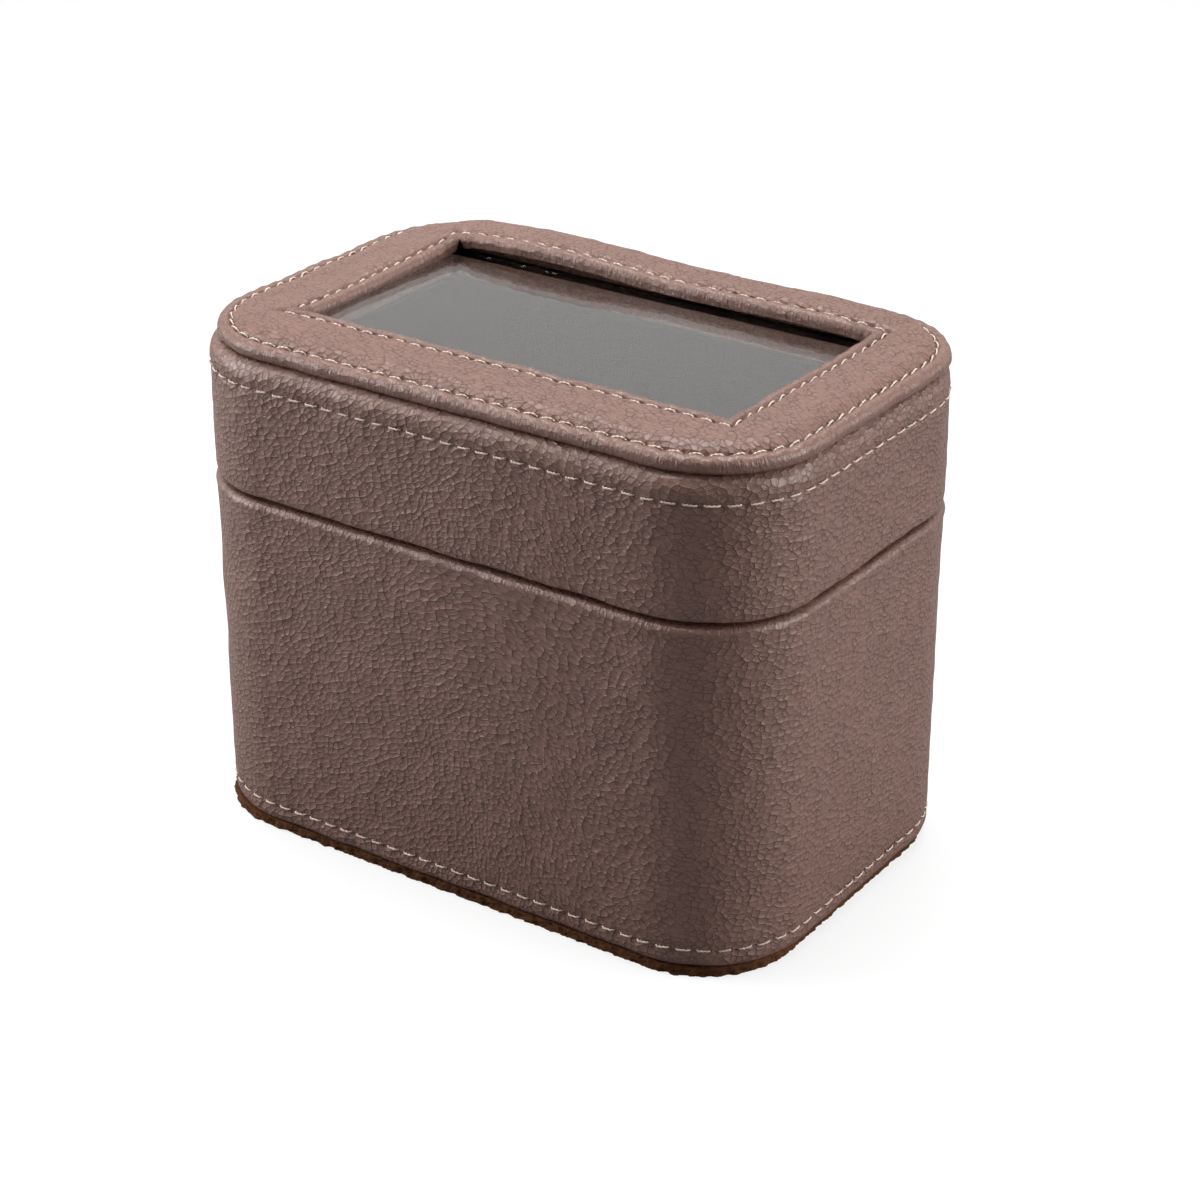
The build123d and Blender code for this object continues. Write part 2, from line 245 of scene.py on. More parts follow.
class Effects:
    """Shader groups that several finishes share, each built once."""

    def __init__(self) -> None:
        """Build the groups."""
        self.grain = self._pebble_grain()
        self.drawn = self._drawn_lines()
        self.nap = self._suede_nap()
        self.patches = self._tone_patches()
        self.scratches = self._fine_scratches()

    @staticmethod
    def _group(name: str, size: str, value: float, *outs: str) -> tuple[Graph, Socket, Node]:
        """A group of a plane in millimetres.

        Args:
            name: the group's name.
            size: the name of its input that the plane is counted in steps of.
            value: that input's default.
            outs: the names of its outputs.

        Returns:
            The graph to write into, the place in steps, and the group's output node.
        """
        kinds = dict.fromkeys(outs, "Float")
        graph, take, sink = group_tree(name, "ShaderNodeTree", {"Vector": "Vector", size: value}, kinds)
        return graph, graph.steps(take["Vector"], take[size]), sink

    def _pebble_grain(self) -> Tree:
        """Slanting pebbles of a milled hide with creases between them, on a plane in millimetres."""
        graph, place, sink = self._group("pebble_grain", "Pebble", 1.5, "Height", "Crease", "Tone")
        turned = graph.add(
            "ShaderNodeMapping", {"Vector": place, "Rotation": (0, 0, 0.22), "Scale": (0.8, 1.15, 1.0)}
        ).outputs[0]
        bent = turned
        for scale, reach in ((0.05, 2.5), (0.5, 0.75)):
            drift = graph.noise(place, scale, output="Color")
            shift = graph.vector("SCALE", graph.vector("SUBTRACT", drift, (0.5, 0.5, 0.5)), reach)
            bent = graph.vector("ADD", bent, shift)
        edge = graph.cells(bent, "DISTANCE_TO_EDGE", loose=0.85)["Distance"]
        cell = graph.cells(bent, "F1", loose=0.85)
        chance = graph.add("ShaderNodeSeparateColor", {0: cell["Color"]}).outputs[0]
        depth = graph.ramp(graph.noise(place, 0.45, 1.0), 0.35, 0.6, 0.3, 1.0)
        crease = graph.math("MULTIPLY", graph.ramp(edge, 0.0, 0.14, 1.0, 0.0), depth)
        fold_place = graph.vector("MULTIPLY", bent, (0.34, 0.62, 1.0))
        fold_edge = graph.cells(fold_place, "DISTANCE_TO_EDGE")["Distance"]
        fold = graph.ramp(fold_edge, 0.0, 0.07, 0.7, 0.0)
        small = graph.cells(bent, "SMOOTH_F1", 2.1)["Distance"]
        far = graph.math("MULTIPLY", cell["Distance"], cell["Distance"])
        pores = graph.noise(place, 7.0, 2.0)
        lines = graph.math("MAXIMUM", crease, fold)
        level = graph.math("MULTIPLY", far, graph.between(depth, -0.7, -1.3))
        level = graph.math("MULTIPLY_ADD", lines, -0.22, level)
        level = graph.math("MULTIPLY_ADD", small, -0.2, level)
        level = graph.math("MULTIPLY_ADD", chance, 0.05, level)
        level = graph.math("MULTIPLY_ADD", pores, 0.08, level)
        graph.join(sink, Height=level, Crease=lines, Tone=chance)
        return graph.tree

    def _drawn_lines(self) -> Tree:
        """Fine slanting ridges of a hide drawn tight over a roll, whose length runs along X."""
        graph, place, sink = self._group("drawn_lines", "Spacing", 0.4, "Height")
        turned = graph.add(
            "ShaderNodeMapping", {"Vector": place, "Rotation": (0, 0, 0.45), "Scale": (1.0, 0.22, 1.0)}
        ).outputs[0]
        ridges = graph.noise(turned, 1.0, 3.0, 0.6)
        specks = graph.cells(turned, "F1", 0.9)["Distance"]
        graph.join(sink, Height=graph.math("MULTIPLY_ADD", specks, -0.6, graph.ramp(ridges, 0.3, 0.7)))
        return graph.tree

    def _suede_nap(self) -> Tree:
        """Short brushed pile: its height and the shading left where a hand has passed."""
        graph, place, sink = self._group("suede_nap", "Fibre", 0.25, "Height", "Shade")
        combed = graph.vector("MULTIPLY", place, (1.0, 0.45, 0.8))
        pile = graph.noise(combed, 1.0, 4.0, 0.65)
        tufts = graph.noise(place, 0.16, 3.0, 0.6)
        brushed = graph.noise(place, 0.02, 3.0, 0.55)
        height = graph.math("MULTIPLY_ADD", tufts, 0.6, pile)
        pile_shade = graph.math("MULTIPLY", pile, 0.7)
        shade = graph.math("MULTIPLY_ADD", graph.ramp(brushed, 0.35, 0.7), 0.32, pile_shade)
        graph.join(sink, Height=height, Shade=shade)
        return graph.tree

    def _tone_patches(self) -> Tree:
        """Slow changes of tone over a surface, for dye, handling and dust."""
        graph, place, sink = self._group("tone_patches", "Size", 20.0, "Mask")
        cloud = graph.noise(place, 1.0, 4.0, 0.6)
        graph.join(sink, Mask=graph.ramp(cloud, 0.3, 0.7))
        return graph.tree

    @staticmethod
    def _fine_scratches() -> Tree:
        """Hairline marks of rolled or brushed metal."""
        ins = {"Vector": "Vector"}
        graph, take, sink = group_tree("fine_scratches", "ShaderNodeTree", ins, {"Mask": "Float"})
        drawn = graph.vector("MULTIPLY", take["Vector"], (0.6, 14.0, 14.0))
        lines = graph.noise(drawn, 1.0, 3.0, 0.7)
        graph.join(sink, Mask=graph.ramp(lines, 0.35, 0.7))
        return graph.tree


@dataclass(frozen=True)
class Finish:
    """A finish of one material: its name, the colour that it starts from and the shared effects."""

    name: str
    color: Triple
    effects: Effects

    def build(self) -> Material:
        """Make the material, with its surface shader painted."""
        material = bpy.data.materials.new(self.name)
        material.use_nodes = True
        material.node_tree.nodes.clear()
        material.diffuse_color = (*self.color, 1.0)
        graph = Graph(material.node_tree)
        shader = graph.add("ShaderNodeBsdfPrincipled")
        graph.add("ShaderNodeOutputMaterial", {"Surface": shader.outputs[0]})
        self.paint(graph, shader)
        return material

    def paint(self, graph: Graph, shader: Node) -> None:
        """Write the nodes of this kind of finish."""
        raise NotImplementedError

    def shade(self, amount: float) -> tuple[float, float, float, float]:
        """The finish's colour, made lighter or darker by a factor."""
        return (*(channel * amount for channel in self.color), 1.0)

    @staticmethod
    def call(graph: Graph, tree: Tree, **inputs: Any) -> Node:
        """Place a shared group in a material with its own values."""
        named = {key.title(): value for key, value in inputs.items()}
        return graph.add("ShaderNodeGroup", named, node_tree=tree)

    @staticmethod
    def object_place(graph: Graph) -> Socket:
        """The point on the piece, in millimetres."""
        place = graph.add("ShaderNodeTexCoord").outputs["Object"]
        return graph.vector("SCALE", place, 1.0 / MM)

    def patches(self, graph: Graph, place: Socket, size: float) -> Socket:
        """Mask of the slow changes of tone, of a size in millimetres."""
        return self.call(graph, self.effects.patches, vector=place, size=size).outputs["Mask"]

    @staticmethod
    def bump(graph: Graph, strength: float, depth: float, height: Socket) -> Socket:
        """A normal bent by a height, whose full step is a depth in millimetres."""
        inputs = {"Strength": strength, "Distance": depth * MM, "Height": height}
        return graph.add("ShaderNodeBump", inputs).outputs[0]

    @staticmethod
    def fix(shader: Node, **values: Any) -> None:
        """Set plain values on the shader's own sockets, with underscores for blanks."""
        for name, value in values.items():
            shader.inputs[name.replace("_", " ")].default_value = value


@dataclass(frozen=True)
class LeatherFinish(Finish):
    """Pebbled, semi-matt hide, which shines where it is drawn tight.

    The grain follows the piece's flat map named hide, the drawn lines follow the map named roll, and
    the attribute named tight says how much of each shows.
    """

    pebble: float = 1.15
    relief: float = 0.26

    def paint(self, graph: Graph, shader: Node) -> None:
        """Write the finish's nodes and join them to its surface shader."""
        hide, roll = (
            graph.vector("SCALE", graph.add("ShaderNodeUVMap", uv_map=name).outputs["UV"], 1.0 / MM)
            for name in ("hide", "roll")
        )
        tight = graph.add("ShaderNodeAttribute", attribute_name="tight").outputs["Fac"]
        grain = self.call(graph, self.effects.grain, vector=hide, pebble=self.pebble)
        drawn = self.call(graph, self.effects.drawn, vector=roll, spacing=0.42).outputs["Height"]
        patches = self.patches(graph, hide, 16.0)
        crease = graph.math("MULTIPLY", grain.outputs["Crease"], graph.between(tight, 1.0, 0.45))
        dyed = graph.blend(patches, self.shade(0.95), self.shade(1.05))
        dyed = graph.blend(graph.math("MULTIPLY", grain.outputs["Tone"], 0.3), dyed, self.shade(0.9))
        # The grain's creases are darkened in the colour: painted shade.
        color = graph.blend(graph.math("MULTIPLY", crease, 0.75), dyed, self.shade(0.3))
        level = graph.math("MULTIPLY", drawn, 0.5)
        level = graph.between(graph.math("MULTIPLY", tight, 0.6), grain.outputs["Height"], level)
        rough = graph.between(crease, graph.between(tight, 0.45, 0.24), 0.75)
        bump = self.bump(graph, 1.0, self.relief, level)
        graph.join(shader, Base_Color=color, Roughness=rough, Normal=bump)
        self.fix(shader, Coat_Weight=0.22, Coat_Roughness=0.26)


@dataclass(frozen=True)
class SuedeFinish(Finish):
    """Napped suede or flock."""

    fibre: float = 0.22
    relief: float = 0.2
    sheen: float = 0.25

    def paint(self, graph: Graph, shader: Node) -> None:
        """Write the finish's nodes and join them to its surface shader."""
        nap = self.call(graph, self.effects.nap, vector=self.object_place(graph), fibre=self.fibre)
        color = graph.blend(nap.outputs["Shade"], self.shade(0.55), self.shade(1.5))
        bump = self.bump(graph, 0.9, self.relief, nap.outputs["Height"])
        rough = graph.between(nap.outputs["Shade"], 0.98, 0.85)
        graph.join(shader, Base_Color=color, Roughness=rough, Normal=bump)
        self.fix(shader, Specular_IOR_Level=0.2, Sheen_Weight=self.sheen, Sheen_Roughness=0.4)


@dataclass(frozen=True)
class ThreadFinish(Finish):
    """Waxed polyester sewing thread. Its lay is in the mesh."""

    def paint(self, graph: Graph, shader: Node) -> None:
        """Write the finish's nodes and join them to its surface shader."""
        place = self.object_place(graph)
        patches = self.patches(graph, place, 1.4)
        fibres = graph.noise(place, 14.0, 2.0)
        color = graph.blend(patches, self.shade(0.84), self.shade(1.04))
        graph.join(shader, Base_Color=color, Normal=self.bump(graph, 0.5, 0.03, fibres))
        self.fix(shader, Roughness=0.5, Sheen_Weight=0.2)


@dataclass(frozen=True)
class BoardFinish(Finish):
    """Pressed board or card with short fibres in it."""

    speck: float = 0.6
    opening: Pair | None = None
    # Colour at the opening's edge: the leather turned over the cut edge, lightened as painted light.
    edge_leather_and_light: Triple = (0.4, 0.23, 0.185)

    def paint(self, graph: Graph, shader: Node) -> None:
        """Write the finish's nodes and join them to its surface shader."""
        place = self.object_place(graph)
        lying = graph.vector("MULTIPLY", place, (1.0, 0.35, 1.6))
        flecks = graph.noise(lying, 1.0 / self.speck, 4.0, 0.7)
        patches = self.patches(graph, place, 9.0)
        color = graph.blend(graph.ramp(flecks, 0.35, 0.65), self.shade(0.7), self.shade(1.15))
        color = graph.blend(graph.math("MULTIPLY", patches, 0.3), color, self.shade(0.85))
        if self.opening:
            apart = graph.add("ShaderNodeSeparateXYZ", {0: place}).outputs
            away = [
                graph.math("SUBTRACT", graph.math("ABSOLUTE", apart[axis]), half)
                for axis, half in enumerate(self.opening)
            ]
            edge = graph.math("ADD", graph.math("MAXIMUM", *away), flecks)
            # Near the opening the board takes the leather's colour, made lighter than the hide as painted
            # light in place of light through the glass.
            edge_leather_and_light = graph.vector("SCALE", self.edge_leather_and_light, graph.ramp(flecks, 0.35, 0.65, 0.45, 1.0))
            color = graph.blend(graph.ramp(edge, 1.1, 1.5, 1.0, 0.0), color, edge_leather_and_light)
        graph.join(shader, Base_Color=color, Normal=self.bump(graph, 0.6, 0.1, flecks))
        self.fix(shader, Roughness=0.9)


@dataclass(frozen=True)
class MetalFinish(Finish):
    """Rolled brass or plated steel with hairline marks and a little tarnish."""

    rough: float = 0.3

    def paint(self, graph: Graph, shader: Node) -> None:
        """Write the finish's nodes and join them to its surface shader."""
        place = self.object_place(graph)
        lines = self.call(graph, self.effects.scratches, vector=place).outputs["Mask"]
        patches = self.patches(graph, place, 3.0)
        color = graph.blend(graph.math("MULTIPLY", patches, 0.5), self.shade(1.0), self.shade(0.62))
        rough = graph.math("MULTIPLY_ADD", lines, 0.14, self.rough)
        graph.join(shader, Base_Color=color, Roughness=rough, Normal=self.bump(graph, 0.25, 0.02, lines))
        self.fix(shader, Metallic=1.0)


@dataclass(frozen=True)
class GlassFinish(Finish):
    """Clear float glass with faint finger marks, or a bead of clear glue."""

    rough: float = 0.0
    smear: float = 0.03

    def paint(self, graph: Graph, shader: Node) -> None:
        """Write the finish's nodes and join them to its surface shader."""
        place = self.object_place(graph)
        patches = self.patches(graph, place, 11.0)
        rough = graph.math("MULTIPLY_ADD", graph.math("POWER", patches, 4.0), self.smear, self.rough)
        graph.join(shader, Roughness=rough)
        self.fix(shader, Base_Color=self.shade(1.0), Transmission_Weight=1.0, IOR=1.5)


class Finishes:
    """Every finish of the box, made once."""

    pane_ledge = 2.5

    def __init__(self) -> None:
        """Build the shared effects and the materials."""
        shared = Effects()
        self.leather = LeatherFinish("hide_taupe", (0.222, 0.116, 0.09), shared).build()
        # Dark finish for the frame's slit corners: partly the hide's raw back, partly painted shade.
        self.slit_shade_and_raw_back = SuedeFinish("hide_cut_edge", (0.05, 0.03, 0.024), shared, sheen=0.0).build()
        self.thread = ThreadFinish("thread_cream", (0.88, 0.72, 0.6), shared).build()
        chestnut = SuedeFinish("suede_chestnut", (0.1, 0.036, 0.013), shared, fibre=0.3, sheen=0.04)
        self.sheet = chestnut.build()
        self.lining = SuedeFinish("suede_charcoal", (0.022, 0.019, 0.019), shared).build()
        self.pillow = SuedeFinish("suede_umber", (0.045, 0.033, 0.03), shared, fibre=0.2).build()
        self.board = BoardFinish("fibreboard", (0.42, 0.3, 0.19), shared).build()
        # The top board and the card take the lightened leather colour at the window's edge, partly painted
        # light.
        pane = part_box("window_pane")[1]
        opening = (pane.x / MM - self.pane_ledge, pane.y / MM - self.pane_ledge)
        edge_lit_board = BoardFinish("fibreboard_stained_edge", (0.42, 0.3, 0.19), shared, opening=opening)
        self.top_board = edge_lit_board.build()
        card = BoardFinish("grey_card", (0.36, 0.34, 0.31), shared, speck=0.4, opening=opening)
        self.card = card.build()
        self.glass = GlassFinish("float_glass", (0.97, 0.985, 0.98), shared).build()
        self.glue = GlassFinish("clear_glue", (0.95, 0.95, 0.93), shared, rough=0.12).build()
        self.hinge = MetalFinish("rolled_brass", (0.74, 0.55, 0.27), shared).build()
        self.screw = MetalFinish("turned_brass", (0.7, 0.5, 0.24), shared, rough=0.22).build()
        self.magnet = MetalFinish("nickel_plate", (0.62, 0.61, 0.58), shared, rough=0.18).build()


@dataclass(frozen=True)
class Stations:
    """Points along a closed line seen from above, each with its outward direction."""

    place: np.ndarray
    outward: np.ndarray

    def offset(self, inset: np.ndarray) -> np.ndarray:
        """Places drawn in by an inset for each station and column.

        Args:
            inset: insets, with one row for each station.

        Returns:
            Places with a last axis of x and y.
        """
        return self.place[:, None, :] - self.outward[:, None, :] * inset[..., None]

    def points(self, inset: np.ndarray, height: np.ndarray) -> np.ndarray:
        """Places in space at insets and heights, with one row for each station."""
        level = np.broadcast_to(height, inset.shape)
        return np.concatenate([self.offset(inset), level[..., None]], -1)

    def moved(self, shift: Pair) -> "Stations":
        """The same stations, carried sideways."""
        return Stations(self.place + np.array(shift), self.outward)

    def reach(self, half: Pair, middle: Sequence[float] = (0.0, 0.0)) -> tuple[np.ndarray, np.ndarray]:
        """How far inward a square opening lies.

        Args:
            half: half its width and depth.
            middle: its middle.

        Returns:
            The distance at each station, and how much a margin beside the opening stretches on that way.
        """
        size = np.abs(self.outward)
        beside = (self.place - np.array(middle)) * np.sign(self.outward)
        away = (beside - np.array(half)) / np.maximum(size, 1e-6)
        away = np.where(size < 1e-3, -np.inf, away)
        nearest = away.argmax(1)
        rows = np.arange(len(away))
        return away[rows, nearest], 1.0 / size[rows, nearest]

    def lengths(self, inset: float) -> np.ndarray:
        """Distance walked to each station along the line drawn in by an inset, with the total last."""
        line = self.place - self.outward * inset
        steps = np.linalg.norm(np.roll(line, -1, 0) - line, axis=1)
        return np.concatenate([[0.0], np.cumsum(steps)])


@dataclass(frozen=True)
class Outline:
    """A rounded rectangle seen from above, walked anticlockwise from the middle of the back."""

    half_x: float
    half_y: float
    radius: float

    @classmethod
    def inside(cls, high: Vector, radius: float) -> "Outline":
        """The outline that fills a box up to its high corner, which is in metres."""
        return cls(high.x / MM, high.y / MM, radius)

    def stations(self, step: float) -> Stations:
        """Stations about one step apart, with one at each end of each curve.

        Args:
            step: the spacing wanted.

        Returns:
            The stations.
        """
        x = self.half_x - self.radius
        y = self.half_y - self.radius
        places: list[np.ndarray] = []
        outwards: list[np.ndarray] = []

        def straight(start: Pair, end: Pair, outward: Pair) -> None:
            """Walk a straight side."""
            count = max(1, math.ceil(math.dist(start, end) / step))
            share = np.arange(count)[:, None] / count
            places.append(np.array(start) * (1 - share) + np.array(end) * share)
            outwards.append(np.tile(outward, (count, 1)))

        def bend(middle: Pair, start: float) -> None:
            """Walk a quarter turn."""
            count = max(1, math.ceil(self.radius * math.pi / 2 / step))
            turn = np.radians(start + 90 * np.arange(count) / count)
            ray = np.stack([np.cos(turn), np.sin(turn)], -1)
            places.append(np.array(middle) + self.radius * ray)
            outwards.append(ray)

        straight((0, self.half_y), (-x, self.half_y), (0, 1))
        bend((-x, y), 90)
        straight((-self.half_x, y), (-self.half_x, -y), (-1, 0))
        bend((-x, -y), 180)
        straight((-x, -self.half_y), (x, -self.half_y), (0, -1))
        bend((x, -y), 270)
        straight((self.half_x, -y), (self.half_x, y), (1, 0))
        bend((x, y), 0)
        straight((x, self.half_y), (0, self.half_y), (0, 1))
        return Stations(np.concatenate(places), np.concatenate(outwards))


class Drift:
    """Smooth wandering of a surface: a few sine waves with fixed random directions."""

    spread = (0.6, 1.7)

    def __init__(self, seed: int, wave: float, count: int = 7) -> None:
        """Choose the waves.

        Args:
            seed: fixes the choice.
            wave: the middle wavelength.
            count: how many waves are added.
        """
        draw = np.random.default_rng(seed)
        turn = draw.uniform(0, math.pi, count)
        number = 2 * math.pi / (wave * draw.uniform(*self.spread, count))
        self.steps = np.stack([np.cos(turn) * number, np.sin(turn) * number], -1)
        self.starts = draw.uniform(0, 2 * math.pi, count)

    def at(self, u: np.ndarray, v: np.ndarray) -> np.ndarray:
        """Height at places on a plane, about -1 to 1."""
        total = sum(
            np.sin(step[0] * u + step[1] * v + start) for step, start in zip(self.steps, self.starts)
        )
        return total / math.sqrt(len(self.starts))


def bell(distance: np.ndarray, width: float) -> np.ndarray:
    """A soft hump of height 1 that fades over a width."""
    return np.exp(-((distance / width) ** 2))


def arc(middle: Pair, radius: Pair, start: float, end: float, count: int) -> list:
    """Points on an ellipse's arc, both ends included.

    Args:
        middle: the ellipse's middle.
        radius: its two radii.
        start: the first angle, in degrees.
        end: the last angle.
        count: the number of points.

    Returns:
        A list of places.
    """
    turn = np.radians(np.linspace(start, end, count))
    return [(middle[0] + radius[0] * math.cos(a), middle[1] + radius[1] * math.sin(a)) for a in turn]


def run(start: Pair, end: Pair, step: float) -> list:
    """Points along a straight line without its two ends."""
    count = max(1, round(math.dist(start, end) / step))
    share = [place / count for place in range(1, count)]
    return [(start[0] + (end[0] - start[0]) * t, start[1] + (end[1] - start[1]) * t) for t in share]


def stand(flat: np.ndarray, height: Any) -> np.ndarray:
    """Places seen from above, with their height added."""
    return np.concatenate([flat, np.broadcast_to(height, len(flat))[:, None]], 1)


def room(node: str) -> tuple[Vector, float, float]:
    """A node's high corner in metres, and the heights of its underside and top in millimetres."""
    low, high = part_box(node)
    return high, low.z / MM, high.z / MM


def add_object(name: str, data: bpy.types.ID) -> Piece:
    """An object of some data, linked into the scene."""
    piece = bpy.data.objects.new(name, data)
    bpy.context.scene.collection.objects.link(piece)
    return piece


def section_normals(across: np.ndarray, height: np.ndarray, closed: bool) -> tuple[np.ndarray, np.ndarray]:
    """Directions square to a section line, in its own plane.

    Args:
        across: the line's insets, with stations first.
        height: its heights.
        closed: whether the line runs back into itself.

    Returns:
        The part of each direction along the inset and along the height.
    """
    if closed:
        along_x = np.roll(across, -1, 1) - np.roll(across, 1, 1)
        along_z = np.roll(height, -1, 1) - np.roll(height, 1, 1)
    else:
        along_x = np.gradient(across, axis=1)
        along_z = np.gradient(height, axis=1)
    size = np.hypot(along_x, along_z) + 1e-9
    return -along_z / size, along_x / size


class Shapes:
    """Makes mesh objects from arrays."""

    @staticmethod
    def sheet(
        name: str, points: np.ndarray, *materials: Material, maps: dict[str, np.ndarray] | None = None,
        tight: Any = 0.0, closed_section: bool = True, closed_rows: bool = True,
    ) -> Piece:
        """A ring-shaped skin woven from stations and a section line.

        Args:
            name: the piece's name.
            points: places in millimetres, stations by section points.
            materials: its materials.
            maps: flat maps in millimetres, each with one more station and one more column.
            tight: how tightly the skin is drawn at each point, from 0 to 1.
            closed_section: whether the section runs back into itself.
            closed_rows: whether the last station joins the first.

        Returns:
            The object, with its flat maps in metres.
        """
        stations, columns = points.shape[:2]
        rows = np.arange(stations if closed_rows else stations - 1)[:, None]
        cols = np.arange(columns if closed_section else columns - 1)[None, :]
        rings = [(rows + row) % stations * columns + (cols + col) % columns for row, col in CORNERS]
        faces = np.stack(rings, -1).reshape(-1, 4).tolist()
        if not closed_rows:
            last = (stations - 1) * columns
            faces += [list(range(columns)), list(range(last, last + columns))[::-1]]
        mesh = bpy.data.meshes.new(name)
        mesh.from_pydata((points.reshape(-1, 3) * MM).tolist(), [], faces)
        for label, flat in (maps or {}).items():
            ring = [flat[rows + row, cols + col] for row, col in CORNERS]
            layer = mesh.uv_layers.new(name=label)
            layer.data.foreach_set("uv", (np.stack(ring, 2) * MM).astype(np.float32).ravel())
        drawn = np.broadcast_to(tight, (stations, columns)).astype(np.float32)
        mesh.attributes.new("tight", "FLOAT", "POINT").data.foreach_set("value", drawn.ravel())
        for material in materials:
            mesh.materials.append(material)
        piece = add_object(name, mesh)
        Shapes.smooth(piece)
        return piece

    @staticmethod
    def smooth(piece: Piece) -> None:
        """Shade a piece smooth."""
        piece.data.polygons.foreach_set("use_smooth", np.ones(len(piece.data.polygons), bool))
        piece.data.update()

    @staticmethod
    def corners(piece: Piece) -> np.ndarray:
        """The places of a piece's corners, in metres."""
        return np.array([corner.co for corner in piece.data.vertices])

    @staticmethod
    def move(piece: Piece, places: np.ndarray) -> None:
        """Put a piece's corners at places in metres."""
        piece.data.vertices.foreach_set("co", places.astype(np.float32).ravel())

    @staticmethod
    def points(name: str, places: np.ndarray, **attributes: np.ndarray) -> Piece:
        """A mesh of loose points that carries attributes for a geometry tree."""
        mesh = bpy.data.meshes.new(name)
        mesh.from_pydata((places * MM).tolist(), [], [])
        for label, values in attributes.items():
            kind, field = ("FLOAT_VECTOR", "vector") if values.ndim == 2 else ("INT", "value")
            mesh.attributes.new(label, kind, "POINT").data.foreach_set(field, values.ravel())
        return add_object(name, mesh)

    @staticmethod
    def outward(piece: Piece, *loops: Sequence[int]) -> Piece:
        """Close a piece and turn its faces outwards.

        Args:
            piece: the piece.
            loops: rows of its corners, each of which gets one face.

        Returns:
            The piece.
        """
        work = bmesh.new()
        work.from_mesh(piece.data)
        work.verts.ensure_lookup_table()
        for loop in loops:
            work.faces.new([work.verts[place] for place in loop])
        bmesh.ops.recalc_face_normals(work, faces=work.faces[:])
        work.to_mesh(piece.data)
        work.free()
        return piece

    @staticmethod
    def finish_nodes(piece: Piece) -> Piece:
        """Turn what a piece's geometry tree makes into its plain mesh."""
        bpy.context.view_layer.update()
        graph = bpy.context.evaluated_depsgraph_get()
        mesh = bpy.data.meshes.new_from_object(piece.evaluated_get(graph))
        piece.modifiers.clear()
        old = piece.data
        piece.data = mesh
        mesh.name = piece.name
        bpy.data.meshes.remove(old)
        return piece

    @staticmethod
    def run_tree(piece: Piece, tree: Tree, **inputs: Any) -> Piece:
        """Run a geometry tree on a piece with its inputs set by their identifiers."""
        modifier = piece.modifiers.new(tree.name, "NODES")
        modifier.node_group = tree
        for socket in tree.interface.items_tree:
            label = socket.name.lower().replace(" ", "_")
            if socket.in_out == "INPUT" and label in inputs:
                modifier[socket.identifier] = inputs[label]
        return Shapes.finish_nodes(piece)


def dress(piece: Piece, body: Body, slot: Slot, *stands_for: str) -> Piece:
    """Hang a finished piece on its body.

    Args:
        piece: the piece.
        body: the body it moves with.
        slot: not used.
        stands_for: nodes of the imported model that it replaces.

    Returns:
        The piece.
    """
    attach(piece, body.value)
    if stands_for:
        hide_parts(*stands_for)
    log.info("%s rides on %s, %d faces", piece.name, body.value, len(piece.data.polygons))
    return piece


@dataclass(frozen=True)
class Stitch:
    """How one kind of sewn row looks, in millimetres. A larger flat gives its stitches flatter tops."""

    pitch: float
    length: float
    thread: float
    arch: float
    dive: float
    slant: float
    flat: float = 3.0


